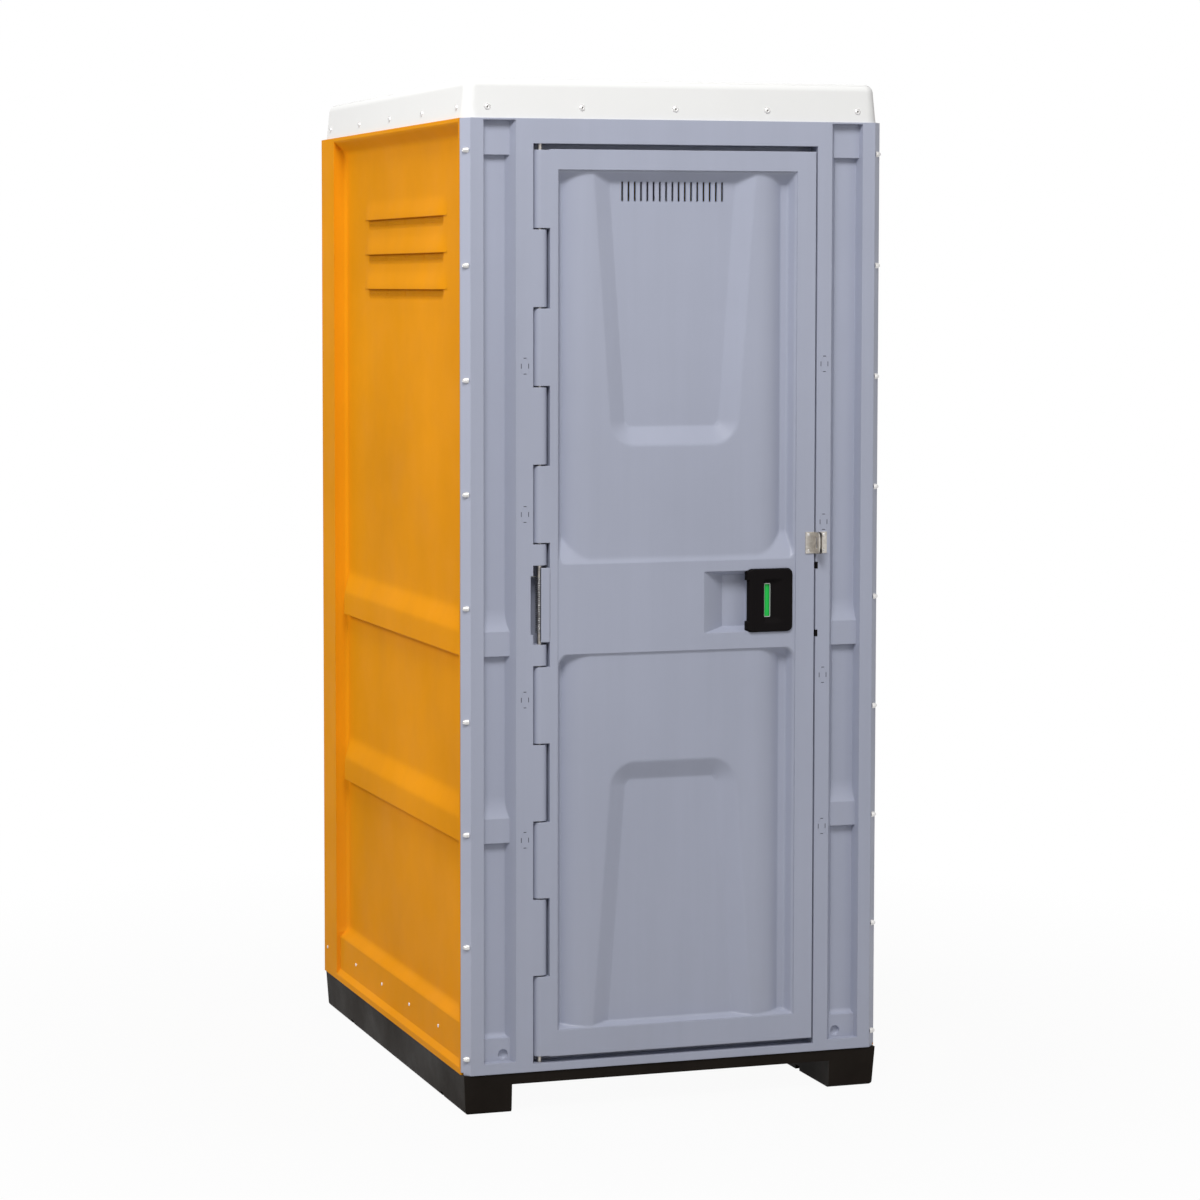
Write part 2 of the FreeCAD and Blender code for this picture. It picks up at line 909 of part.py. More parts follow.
def front_frame():
    """The door frame with its corner posts, header, sill and hinge knuckles."""
    skin, lap = s.skin, s.front_lap
    chamfer = half_width - lap
    outline = [
        (-half_width, lap), (-chamfer, 0), (chamfer, 0), (half_width, lap),
        (web_x, lap), (web_x, s.frame_depth), (-web_x, s.frame_depth), (-web_x, lap),
    ]
    blank = prism("frame_blank", outline, panel_low, s.wall_top)
    whole = (-1, s.frame_depth + 1)
    jamb = box(
        "jambs", (-s.opening_left - skin, s.opening_right + skin), whole,
        (s.opening_bottom - skin, s.opening_top + skin),
    )
    pocket_ends = (
        s.closer_z - s.spring_pocket / 2, s.closer_z + s.spring_pocket / 2
    )
    pocket_left = -s.opening_left - s.spring_pocket_deep
    pocket_wall = box(
        "closer_pocket_wall", (pocket_left - skin, -s.opening_left),
        (-1, knuckle_back + skin), (pocket_ends[0] - skin, pocket_ends[1] + skin),
    )
    hollow = box(
        "frame_inside", (-web_x + skin, web_x - skin), (skin, s.frame_depth + 1),
        (panel_low + skin, s.wall_top - skin),
    )
    core = cut("frame_core", hollow, jamb, pocket_wall, post_relief("in", skin))
    doorway = box(
        "doorway", (-s.opening_left, s.opening_right), whole,
        (s.opening_bottom, s.opening_top),
    )
    pocket = box(
        "closer_pocket", (pocket_left, -s.opening_left + 1), (-1, knuckle_back),
        pocket_ends,
    )
    ties = [
        facet_rod(f"tie_hole_{side + 1}", s.slim_sides, s.tie_hole_radius,
                  s.post_depth + skin, s.tie_hole_x * side, s.post_depth + skin,
                  s.tie_hole_z, STAND_UP)
        for side in (-1, 1)
    ]
    shell = cut(
        "frame_shell", blank, post_relief("out", as_size(0)), core,
        corner_hollow("corner_left", -1), corner_hollow("corner_right", 1),
        doorway, pocket,
        floor_trim("frame_trim", (-half_width, half_width), s.frame_depth), *ties,
        *strike_cuts(),
    )
    depth = (s.stop_depth, s.stop_depth + skin)
    stop = cut(
        "door_stop",
        box("stop_sheet", (-s.opening_left - 1, s.opening_right + 1), depth,
            (s.opening_bottom - 1, s.opening_top + 1)),
        box("stop_opening", (leaf_left + s.stop_lap, leaf_right - s.stop_lap), whole,
            (s.leaf_bottom + s.stop_lap, s.leaf_top - s.stop_lap)),
    )
    flange = box(
        "frame_flange", (skin - web_x, web_x - skin),
        (s.flange_inset, s.flange_inset + skin), (s.wall_top - skin, flange_top),
    )
    knuckles = [
        knuckle(f"frame_knuckle_{n}", owner, low, high)
        for n, (owner, low, high) in enumerate(knuckle_spans()) if owner == "frame"
    ]
    whole_frame = joined("frame_whole", shell, stop, flange, *knuckles)
    bore = facet_rod(
        "rod_bore", s.slim_sides, s.rod_radius + s.running_fit,
        s.opening_top - s.opening_bottom + s.rod_engage * 2,
        -s.hinge_x, s.knuckle_radius, s.opening_bottom - s.rod_engage,
    )
    frame = cut("frame_bored", whole_frame, bore)
    return place(node("front_frame", frame), y=-half_depth)


def strike_spans():
    """The low and high ends of the strike plate's two front ears."""
    low = bolt_z - s.strike_high / 2
    high = low + s.strike_high
    return (low, low + s.strike_ear), (high - s.strike_ear, high)


def strike_solids(name, fit):
    """The strike's plate and its two ears, grown by a fit."""
    (low, low_in), (high_in, high) = strike_spans()
    across = (s.opening_right - fit, s.opening_right + s.strike_thick + fit)
    back = s.strike_deep
    return [
        box(f"{name}_back", across, (s.strike_ear - fit, back + fit),
            (low - fit, high + fit)),
        box(f"{name}_ear_low", across, (-fit, s.strike_ear + 1),
            (low - fit, low_in + fit)),
        box(f"{name}_ear_high", across, (-fit, s.strike_ear + 1),
            (high_in - fit, high + fit)),
    ]


def strike_cuts():
    """The seat that the strike plate fills in the jamb."""
    return strike_solids("strike_seat", s.seat_gap)


def strike_plate():
    """The keeper in the jamb, with the hole that takes the bolt."""
    plate = joined("strike_whole", *strike_solids("strike", as_size(0)))
    fit = s.bolt_fit * 2
    hole = box(
        "strike_hole", (s.opening_right - 1, s.opening_right + s.strike_thick + 1),
        (s.bolt_y - s.bolt_thick / 2 - fit, s.bolt_y + s.bolt_thick / 2 + fit),
        (bolt_z - s.bolt_high / 2 - fit, bolt_z + s.bolt_high / 2 + fit),
    )
    plate = cut("strike_cut", plate, hole)
    return place(node("strike_plate", plate), y=-half_depth)


def hinge_rod():
    """The rod that every knuckle turns on."""
    bar = doc.addObject("PartDesign::Body", "hinge_rod_body")
    sketch = bar.newObject("Sketcher::SketchObject", "hinge_rod_circle")
    attach(sketch, bar, "XY_Plane")
    ring(sketch, s.rod_radius)
    pad = bar.newObject("PartDesign::Pad", "hinge_rod_pad")
    pad.Profile = sketch
    bind(pad, "Length", s.opening_top - s.opening_bottom + s.rod_engage * 2 - 1)
    return place(
        node("hinge_rod", bar), -s.hinge_x, s.knuckle_radius - half_depth,
        s.opening_bottom - s.rod_engage + 0.5,
    )


def attach(sketch, body, role, lift=None, axis="z"):
    """Puts a sketch on one of its body's origin planes, lifted off it or not."""
    plane = [f for f in body.Origin.OriginFeatures if f.Role == role][0]
    sketch.AttachmentSupport = (plane, [""])
    sketch.MapMode = "FlatFace"
    if lift is not None:
        bind(sketch, f".AttachmentOffset.Base.{axis}", lift)
    return sketch




def rounded(x, z, low=None, high=None):
    """A rectangle's outline, its low and its high corners round or not."""
    (left, right), (foot, top) = x, z
    low_round = 0 if low is None else low
    high_round = 0 if high is None else high
    corners = [
        (low, (left, foot + low_round), (left + low_round, foot)),
        (low, (right - low_round, foot), (right, foot + low_round)),
        (high, (right, top - high_round), (right - high_round, top)),
        (high, (left + high_round, top), (left, top - high_round)),
    ]
    points = []
    for radius, start, end in corners:
        points += [start] if radius is None else [(*start, radius), end]
    return points


# Door leaf

leaf_arc_rise = s.leaf_field_deep - s.leaf_bulge_deep
leaf_arc_run = s.leaf_valley_half - s.leaf_bulge_half
leaf_arc = (leaf_arc_run * leaf_arc_run + leaf_arc_rise * leaf_arc_rise) / (
    leaf_arc_rise * 2
)
case_left = s.pocket_right + s.skin + s.seat_gap * 2
case_right = s.lock_left + s.lock_width - s.case_inset
case_low = s.lock_low + s.case_inset
case_high = s.lock_low + s.lock_height - s.case_inset
lock_back = s.lock_thick - s.lock_rise


def leaf_profile(name, low, high, back):
    """The plan of the leaf's sunk panel: a flat swell between two valleys."""
    deep = s.leaf_field_deep + back
    lean = s.leaf_side_draft / s.leaf_field_deep
    swell = s.leaf_bulge_deep + back
    points = [
        (-s.stile_left - back - lean, -1),
        (-s.stile_left - back + lean * deep, deep),
        (-s.leaf_valley_half, deep, leaf_arc),
        (-s.leaf_bulge_half, swell),
        (s.leaf_bulge_half, swell, leaf_arc),
        (s.leaf_valley_half, deep),
        (s.stile_right + back - lean * deep, deep),
        (s.stile_right + back + lean, -1),
    ]
    return prism(name, points, low - 1, high + 1)


def recess(name, wide, narrow, closed, run, back):
    """One tapering recess in the swell, with bevelled sides and cut corners.

    wide and narrow are its half widths at the open and the closed end, closed
    is the height of its closed end, and run how far it goes on to the open one.
    """
    way = 1 if run.number > 0 else -1
    slope = s.recess_bevel / (s.recess_deep - s.leaf_bulge_deep)
    depths = (as_size(-1), s.recess_deep + back)
    outlines = []
    for depth in depths:
        grow = back + slope * (s.leaf_bulge_deep + back - depth)
        end = closed - grow * way
        points = [
            (-wide - grow, closed + run),
            (-narrow - grow, end + s.recess_corner * way),
            (-narrow - grow + s.recess_corner, end),
            (narrow + grow - s.recess_corner, end),
            (narrow + grow, end + s.recess_corner * way),
            (wide + grow, closed + run),
        ]
        outlines.append(points)
    return loft_between(name, outlines[0], depths[0], outlines[1], depths[1])


def leaf_field(name, ends, bevels, rounds, recess_solid, back):
    """One sunk panel of the leaf, with bevelled ends and round corners."""
    low, high = ends
    low_slope, high_slope = (bevel / s.leaf_field_deep for bevel in bevels)
    deep = s.leaf_field_deep + back + 1
    side = (-half_width, half_width)
    bevelled = taper(
        f"{name}_ends", (-1, deep),
        (*side, low - back - low_slope, high + back + high_slope),
        (*side, low - back + low_slope * deep, high + back - high_slope * deep),
    )
    front = rounded(
        (-s.stile_left - back - 1, s.stile_right + back + 1),
        (low - back - 1, high + back + 1), *rounds,
    )
    return common(
        name, bevelled, prism(f"{name}_front", front, -1, deep, along="y"),
        joined(f"{name}_depth", leaf_profile(f"{name}_plan", low, high, back),
               recess_solid),
    )


def lock_outline(grow):
    """The lock's rounded outline, grown by a fit."""
    return rounded(
        (s.lock_left - grow, s.lock_left + s.lock_width + grow),
        (s.lock_low - grow, s.lock_low + s.lock_height + grow),
        s.lock_round + grow, s.lock_round + grow,
    )


def hand_pocket(name, back):
    """The pocket that the fingers go into, beside the lock."""
    deep = s.pocket_deep + back
    lean = s.pocket_bevel / s.pocket_deep
    draft = s.pocket_draft / s.pocket_deep
    left, right = s.pocket_left - back, s.pocket_right + back
    low, high = s.pocket_low - back, s.pocket_high + back
    hollow = taper(
        f"{name}_hollow", (-1, deep),
        (left - lean, right, low - draft, high + draft),
        (left + lean * deep, right, low + draft * deep, high - draft * deep),
    )
    front = rounded(
        (left, right + s.pocket_round), (low, high),
        s.pocket_round + back, s.pocket_round + back,
    )
    return common(name, hollow, prism(f"{name}_front", front, -1, deep, along="y"))


def leaf_relief(tag, back):
    """Everything that is sunk into the leaf's front."""
    upper = recess(
        f"upper_recess_{tag}", s.upper_recess_top, s.upper_recess_low,
        s.upper_recess_z, s.field_top - s.upper_recess_z + s.recess_corner, back,
    )
    lower = recess(
        f"lower_recess_{tag}", s.lower_recess_low, s.lower_recess_top,
        s.lower_recess_z, s.field_bottom - s.lower_recess_z - s.recess_corner, back,
    )
    corner = s.field_corner + back
    return joined(
        f"leaf_relief_{tag}",
        leaf_field(
            f"upper_field_{tag}", (s.belt_top, s.field_top),
            (s.belt_bevel, s.top_bevel), (corner, None), upper, back,
        ),
        leaf_field(
            f"lower_field_{tag}", (s.field_bottom, s.belt_bottom),
            (s.foot_bevel, s.under_bevel), (None, corner), lower, back,
        ),
        box(f"belt_{tag}", (-s.stile_left - back, s.stile_right + back),
            (-1, s.belt_sunk + back), (s.field_bottom - back, s.field_top + back)),
        hand_pocket(f"hand_pocket_{tag}", back),
        prism(f"lock_seat_{tag}", lock_outline(s.seat_gap + back), -1,
              lock_back + s.seat_gap + back, along="y"),
    )


def vent_slots():
    """The row of upright slots near the top of the leaf."""
    slots = count_of(s.vent_slots)
    across = s.vent_pitch * (slots - 1)
    half = s.vent_slot_wide / 2
    high = (s.vent_z - s.vent_slot_high / 2, s.vent_z + s.vent_slot_high / 2)
    gaps = []
    for n in range(slots):
        middle = s.vent_pitch * n - across / 2
        gaps.append(box(
            f"vent_slot_{n}", (middle - half, middle + half),
            (-1, s.leaf_thick + 1), high,
        ))
    return gaps


def door_leaf():
    """The moulded leaf with its panels, lock seat, vents and hinge knuckles."""
    skin, back = s.skin, s.leaf_thick
    blank = box(
        "leaf_blank", (leaf_left, leaf_right), (0, back), (s.leaf_bottom, s.leaf_top)
    )
    hollow = box(
        "leaf_inside", (leaf_left + skin, leaf_right - skin), (skin, back + 1),
        (s.leaf_bottom + skin, s.leaf_top - skin),
    )
    core = cut("leaf_core", hollow, leaf_relief("in", skin))
    gap = s.seat_gap
    case_hole = box(
        "case_hole", (case_left - gap, case_right + gap), (-1, back + 1),
        (case_low - gap, case_high + gap),
    )
    fit = s.bolt_fit
    bolt_hole = box(
        "bolt_hole", (leaf_right - skin - 1, leaf_right + 1),
        (s.bolt_y - s.bolt_thick / 2 - fit, s.bolt_y + s.bolt_thick / 2 + fit),
        (bolt_z - s.bolt_high / 2 - fit, bolt_z + s.bolt_high / 2 + fit),
    )
    shell = cut(
        "leaf_shell", blank, leaf_relief("out", as_size(0)), core, case_hole,
        bolt_hole, *vent_slots(),
    )
    knuckles = [
        knuckle(f"door_knuckle_{n}", owner, low, high)
        for n, (owner, low, high) in enumerate(knuckle_spans()) if owner == "door"
    ]
    axis = (-s.hinge_x, s.knuckle_radius)
    round_foot = s.leaf_bottom + s.knuckle_pitch
    radius = s.rod_radius + s.running_fit
    bores = [
        rod("leaf_foot_bore", radius, s.knuckle_pitch + 2, *axis, s.leaf_bottom - 1),
        facet_rod("leaf_rod_bore", s.slim_sides, radius, s.leaf_top - round_foot + 1,
                  *axis, round_foot),
    ]
    leaf = cut("leaf_bored", joined("leaf_whole", shell, *knuckles), *bores)
    return place(node("door_leaf", leaf), y=-half_depth)


# Lock

def grip(name, left, low, high):
    """A length of the grip: a rounded ridge with a wall turned back behind it."""
    ridge, rise = s.grip_ridge, s.lock_rise + s.grip_rise
    back = s.grip_deep
    points = [
        (left, back), (left, -rise + ridge / 2, -ridge / 2),
        (left + ridge / 2, -rise), (s.lock_left + ridge, -s.lock_rise),
        (s.lock_left + ridge, lock_back - 1),
        (s.lock_left + s.grip_width, lock_back - 1), (s.lock_left + s.grip_width, back),
    ]
    return prism(name, points, low, high)


def lock_escutcheon():
    """The lock's outer plate with its finger grip, dish and window slit."""
    low, high = s.lock_low, s.lock_low + s.lock_height
    front = -s.lock_rise
    relief_low, relief_high = low + s.grip_end, high - s.grip_end
    plate = cut(
        "lock_plate",
        prism("lock_blank", lock_outline(as_size(0)), front, lock_back, along="y"),
        box("lock_grip_side", (s.lock_left - 1, s.lock_left + s.grip_relief),
            (front - 1, lock_back + 1), (relief_low, relief_high)),
    )
    shift = s.lock_round * 2 / 3
    whole = joined(
        "lock_whole", plate,
        grip("grip_low", s.lock_left, low + shift, relief_low),
        grip("grip_middle", s.lock_left + s.grip_relief, relief_low - 1,
             relief_high + 1),
        grip("grip_high", s.lock_left, relief_high, high - shift),
    )
    middle = (low + high) / 2
    dish_x = (s.dish_left, s.dish_left + s.dish_width)
    dish_z = (middle - s.dish_height / 2, middle + s.dish_height / 2)
    floor = front + s.dish_deep
    outline = rounded(dish_x, dish_z, s.dish_deep * 2, s.dish_deep * 2)
    bevelled = taper(
        "dish_bevel", (front - 1, floor), (*dish_x, *dish_z),
        (dish_x[0], dish_x[1] - s.dish_slope,
         dish_z[0] + s.dish_deep, dish_z[1] - s.dish_deep),
    )
    dish = common("dish", bevelled, prism("dish_front", outline, front - 1, floor, "y"))
    slit = box(
        "window_slit", (s.dish_left + s.slit_width / 7, slit_right),
        (front, lock_back + 1), (middle - s.slit_height / 2, middle + s.slit_height / 2),
    )
    plate = cut("lock_front", whole, dish, slit)
    return place(node("lock_escutcheon", plate), y=-half_depth)


slit_right = s.dish_left + s.slit_width / 7 + s.slit_width
flag_front = lock_back + s.flag_gap
flag_split = s.dish_left
flag_wide = s.bolt_throw


def lock_case():
    """The box behind the plate that guides the bolt."""
    wall, fit = s.case_wall, s.bolt_fit
    back = lock_back + s.case_deep
    ends = (case_left, case_right)
    neck = (s.knob_x - s.knob_neck / 2 - fit,
            s.knob_x + s.knob_neck / 2 + s.bolt_throw + fit)
    case = cut(
        "case_open",
        box("case_blank", ends, (lock_back, back), (case_low, case_high)),
        box("case_inside", (ends[0] + wall, ends[1] - wall), (lock_back - 1, back - wall),
            (case_low + wall, case_high - wall)),
        box("case_bolt_hole", (ends[1] - wall - 1, ends[1] + 1),
            (s.bolt_y - s.bolt_thick / 2 - fit, s.bolt_y + s.bolt_thick / 2 + fit),
            (bolt_z - s.bolt_high / 2 - fit, bolt_z + s.bolt_high / 2 + fit)),
        box("case_knob_slot", neck, (back - wall - 1, back + 1),
            (bolt_z - s.knob_neck / 2 - fit, bolt_z + s.knob_neck / 2 + fit)),
    )
    return place(node("lock_case", case), y=-half_depth)


def lock_bolt():
    """The sliding bolt with the flags' carrier in front and the knob behind."""
    middle = (bolt_z - s.bolt_high / 2, bolt_z + s.bolt_high / 2)
    bolt_front, bolt_back = s.bolt_y - s.bolt_thick / 2, s.bolt_y + s.bolt_thick / 2
    tip = leaf_right - s.bolt_fit
    nose = s.bolt_thick / 2
    bar = prism("bolt_bar", [
        (s.bolt_left, bolt_front), (tip - nose, bolt_front), (tip, bolt_front + nose / 2),
        (tip, bolt_back), (s.bolt_left, bolt_back),
    ], *middle)
    knob_front = lock_back + s.case_deep + s.bolt_fit * 2
    neck = (s.knob_x - s.knob_neck / 2, s.knob_x + s.knob_neck / 2)
    knob_outline = rounded(
        (s.knob_x - s.knob_wide / 2, s.knob_x + s.knob_wide / 2),
        (bolt_z - s.knob_high / 2, bolt_z + s.knob_high / 2),
        s.knob_wide / 3, s.knob_wide / 3,
    )
    bolt = joined(
        "bolt_whole", bar,
        box("flag_carrier", (flag_split - flag_wide, flag_split + flag_wide),
            (flag_front + s.flag_thick, bolt_front + 1), middle),
        box("knob_neck", neck, (bolt_back - 1, knob_front + 1),
            (bolt_z - s.knob_neck / 2, bolt_z + s.knob_neck / 2)),
        prism("knob", knob_outline, knob_front, knob_front + s.knob_rise, along="y"),
    )
    return place(node("lock_bolt", bolt), y=-half_depth)


def indicator(label, left):
    """One coloured flag that the bolt carries behind the window."""
    half = s.slit_height / 2 + s.flag_thick
    middle = s.lock_low + s.lock_height / 2
    flag = box(
        f"{label}_flag", (left, left + flag_wide),
        (flag_front - half_depth, flag_front + s.flag_thick - half_depth),
        (middle - half, middle + half),
    )
    return node(label, flag)


def door_pull():
    """The handle on the leaf's inner side, on the back of the hand pocket."""
    foot = s.pocket_deep + s.skin
    middle = (s.pocket_left + s.pocket_bevel + s.pocket_right) / 2
    across = (middle - s.pull_wide / 2, middle + s.pull_wide / 2)
    half = s.pull_long / 2
    bar = s.pull_thick

    def bow(name, y, z, radius):
        (near, far), (low, high) = y, z
        return prism(name, [
            (near, low), (far - radius, low, radius), (far, low + radius),
            (far, high - radius, radius), (far - radius, high), (near, high),
        ], *across, along="x")

    pull = cut(
        "pull_bow",
        bow("pull_blank", (foot, foot + s.pull_rise), (bolt_z - half, bolt_z + half),
            s.pull_round),
        bow("pull_gap", (foot - 1, foot + s.pull_rise - bar),
            (bolt_z - half + bar, bolt_z + half - bar), s.pull_round - bar / 2),
    )
    return place(node("door_pull", pull), y=-half_depth)


# Hasp

hasp_plate_left = leaf_right + s.hasp_over - s.hasp_plate
frame_lug_left = leaf_right + s.hasp_over + s.hasp_gap


def hasp(label, plate, lug):
    """A flat plate with a slotted lug bent out from its edge."""
    low, high = s.hasp_z - s.hasp_high / 2, s.hasp_z + s.hasp_high / 2
    out, corner = s.hasp_lug, s.hasp_slot_wide
    lug_outline = [
        (0, low), (0, high), (-out + corner, high, corner), (-out, high - corner),
        (-out, low + corner, corner), (-out + corner, low),
    ]
    slot = box(
        f"{label}_slot", (lug[0] - 1, lug[1] + 1),
        (-out * 0.5 - s.hasp_slot_wide / 2, -out * 0.5 + s.hasp_slot_wide / 2),
        (s.hasp_z - s.hasp_slot_high / 2, s.hasp_z + s.hasp_slot_high / 2),
    )
    bent = cut(
        f"{label}_bent",
        joined(f"{label}_whole",
               box(f"{label}_plate", plate, (-s.hasp_thick, 0), (low, high)),
               prism(f"{label}_lug", lug_outline, *lug, along="x")),
        slot,
    )
    return place(node(label, bent), y=-half_depth)


def polygon(name, sides, radius):
    """A level polygon about the origin."""
    outline = doc.addObject("Part::RegularPolygon", name)
    outline.Polygon = sides
    bind(outline, "Circumradius", radius)
    return outline


def rivet_head(name, radius, x, y, z, turn):
    """A rivet's low head, standing along what its turn makes of +Z."""
    return facet_rod(
        name, s.rivet_sides, radius, radius * s.rivet_share, x, y, z, turn
    )


def row(label, heads):
    """Identical heads in one node."""
    group = doc.addObject("Part::Compound", f"{label}_set")
    group.Links = heads
    return node(label, group)


def hasp_rivets(label, middle):
    """The two rivets of one hasp plate."""
    reach = s.hasp_high / 2 - s.hasp_rivet_radius * 2
    return row(label, [
        rivet_head(f"{label}_{side + 1}", s.hasp_rivet_radius, middle,
                   -half_depth - s.hasp_thick, s.hasp_z + reach * side, STAND_UP)
        for side in (-1, 1)
    ])


# Hinge closer

def closer_cover():
    """The bracket on the leaf's edge that shields the coil's door side."""
    thick = s.cover_thick
    low, high = s.closer_z - s.cover_long / 2, s.closer_z + s.cover_long / 2
    bracket = joined(
        "cover_bend",
        box("cover_front", (leaf_left - s.cover_width, leaf_left), (0, thick),
            (low, high)),
        box("cover_flange", (leaf_left - thick, leaf_left), (0, knuckle_back),
            (low, high)),
    )
    return place(node("closer_cover", bracket), y=-half_depth)


def biarc(start, start_way, end, end_way):
    """Two arcs that leave one point and reach another in given directions."""
    gap, ways = end - start, start_way + end_way
    spread = 2 * (1 - start_way.dot(end_way))
    along = gap.dot(ways)
    reach = (math.sqrt(along * along + spread * gap.dot(gap)) - along) / spread
    out, back = start + start_way * reach, end - end_way * reach
    middle = (out + back) * 0.5
    arcs = []
    for first, corner, last in ((start, out, middle), (middle, back, end)):
        weight = (last - first).Length / 2 / reach
        top = (first + corner * (2 * weight) + last) * (1 / (2 * (1 + weight)))
        arcs.append(Part.Arc(first, top, last).toShape())
    return arcs


def closer_spring():
    """The torsion coil round the rod, one leg on the frame and one on the door."""
    radius, wire = s.spring_radius.number, s.spring_wire.number
    turns = count_of(s.spring_turns)
    tall = s.spring_long.number
    halves = turns * 2
    rise = -tall / turns / (2 * math.pi * radius)
    wall = s.spring_pocket_deep.number + s.opening_left.number - s.hinge_x.number
    door = (s.knuckle_radius + s.knuckle_gap - s.cover_thick - s.seat_gap).number
    points, ways = [], []
    for n in range(halves + 1):
        angle = math.pi / 2 - math.pi * n
        points.append(Vector(
            radius * math.cos(angle), radius * math.sin(angle), -tall * n / halves
        ))
        way = Vector(math.sin(angle), -math.cos(angle), rise)
        ways.append(way.normalize())
    level = Vector(1, 0, 0)
    ways[0] = ways[-1] = level
    edges = [Part.LineSegment(points[0] - level * wall, points[0]).toShape()]
    for n in range(halves):
        edges += biarc(points[n], ways[n], points[n + 1], ways[n + 1])
    edges.append(Part.LineSegment(points[-1], points[-1] + level * door).toShape())
    start = points[0] - level * wall
    corners = [
        start + Vector(0, math.cos(a), math.sin(a)) * (wire / 2)
        for a in (math.pi / 2 + math.pi * 2 / 3 * n for n in range(3))
    ]
    section = Part.makePolygon(corners + corners[:1])
    coil = Part.Wire(edges).makePipeShell([section], True, False)
    steps = [point for edge in edges for point in edge.discretize(13)]
    away = 8 * 24
    nearest = min(
        (one - other).Length
        for n, one in enumerate(steps)
        for other in steps[n + 40:n + away]
    )
    print(f"closer spring: {turns} turns, least gap {nearest - wire:.2f} mm")
    spring = doc.addObject("Part::Feature", "closer_coil")
    spring.Shape = coil
    return place(
        node("closer_spring", spring), -s.hinge_x, s.knuckle_radius - half_depth,
        s.closer_z + s.spring_long / 2,
    )


# Base, floor and roof

def base_pallet():
    """The skid pallet: two ribbed skids joined by a deck, open from below."""
    inset, lean = s.base_inset, s.base_taper
    wide, deep = half_width - inset, half_depth - inset
    under = s.base_height - s.deck_thick
    inner = half_width - s.base_inset - s.base_taper - s.skid_width
    round_ = s.skid_round

    def side(reach, way):
        low = reach - lean
        return [
            ((low - round_) * way, 0), (low * way, round_), (reach * way, s.base_height)
        ]

    right = side(wide, 1)
    left = side(wide, -1)
    front = [
        (inner, 0), (*right[0], round_), right[1], right[2],
        left[2], (*left[1], round_), left[0],
        (-inner, 0), (-inner, under), (inner, under),
    ]
    end, start = side(deep, 1), side(deep, -1)
    flank = [
        (*end[0], round_), end[1], end[2], start[2], (*start[1], round_), start[0],
    ]
    blank = common(
        "base_blank", prism("base_front", front, -deep, deep, along="y"),
        prism("base_flank", flank, -wide, wide, along="x"),
    )
    rim, ceiling = s.skid_rim, s.base_height - s.deck_skin
    cells = []
    run = (deep - lean - rim) * 2
    pitch = (run + s.deck_rib) / count_of(s.skid_cells)
    for n in range(count_of(s.skid_cells)):
        low = -deep + lean + rim + pitch * n
        for name, ends in (
            ("left", (-wide + lean + rim, -inner - rim)),
            ("right", (inner + rim, wide - lean - rim)),
        ):
            cells.append(box(
                f"skid_{name}_{n}", ends, (low, low + pitch - s.deck_rib),
                (-1, ceiling),
            ))
    across = (inner * 2 + s.deck_rib) / count_of(s.deck_cells)
    for column in range(count_of(s.deck_cells)):
        left_x = -inner + across * column
        for n in range(count_of(s.skid_cells)):
            low = -deep + lean + rim + pitch * n
            cells.append(box(
                f"deck_{column}_{n}", (left_x, left_x + across - s.deck_rib),
                (low, low + pitch - s.deck_rib), (under - 1, ceiling),
            ))
    reach, bar = s.foot_long / 2, s.foot_bar / 2
    foot = [
        box("foot_across", (-reach, reach), (-bar, bar), (0, ceiling + 1)),
        box("foot_along", (-bar, bar), (-reach, reach), (0, ceiling + 1)),
    ]
    slots = [
        box(f"strap_slot_{name}", (-half_width, half_width),
            (y - s.strap_slot_wide / 2, y + s.strap_slot_wide / 2),
            (-1, s.strap_slot_high))
        for name, y in (("front", -s.strap_slot_front), ("rear", s.strap_slot_rear))
    ]
    pallet = cut("base_open", blank, *cells, *slots)
    return node("base_pallet", joined("base_whole", pallet, *foot))


upstand_x = half_width - foot_width - s.seat_gap
upstand_rear = half_depth - foot_width - s.seat_gap
upstand_front = -half_depth + s.frame_depth + s.seat_gap
floor_top = s.base_height + s.floor_skin


def floor_pan():
    """The floor with its treads and the upstand that the walls are riveted to."""
    skin = s.floor_skin
    pan = cut(
        "pan_sheet",
        box("pan_blank", (-upstand_x, upstand_x), (upstand_front, upstand_rear),
            (s.base_height, s.base_height + s.upstand_height)),
        box("pan_inside", (-upstand_x + skin, upstand_x - skin),
            (upstand_front + skin, upstand_rear - skin),
            (floor_top, s.base_height + s.upstand_height + 1)),
        box("pan_threshold", (-s.opening_left, s.opening_right),
            (upstand_front - 1, upstand_front + skin + 1),
            (s.opening_bottom, s.base_height + s.upstand_height + 1)),
    )
    treads = []
    for n in range(count_of(s.tread_rows)):
        low = upstand_front + s.tread_front + s.tread_pitch * n
        for side in (-1, 1):
            left, right = span(s.tread_wide * side, (s.tread_wide + s.tread_long) * side)
            treads.append(box(
                f"tread_{n}_{side + 1}", (left, right), (low, low + s.tread_wide),
                (floor_top - 1, floor_top + s.tread_height),
            ))
    return node("floor_pan", joined("pan_whole", pan, *treads))


def padded(name, outlines, length, lean=None):
    """A body padded up from one outline, or from one with holes in it."""
    body = doc.addObject("PartDesign::Body", f"{name}_body")
    sketch = body.newObject("Sketcher::SketchObject", f"{name}_sketch")
    attach(sketch, body, "XY_Plane")
    for tag, outline in zip("abc", outlines):
        draw(sketch, outline, tag)
    pad = body.newObject("PartDesign::Pad", f"{name}_pad")
    pad.Profile = sketch
    bind(pad, "Length", length)
    if lean is not None:
        bind(pad, "TaperAngle", lean)
    return body


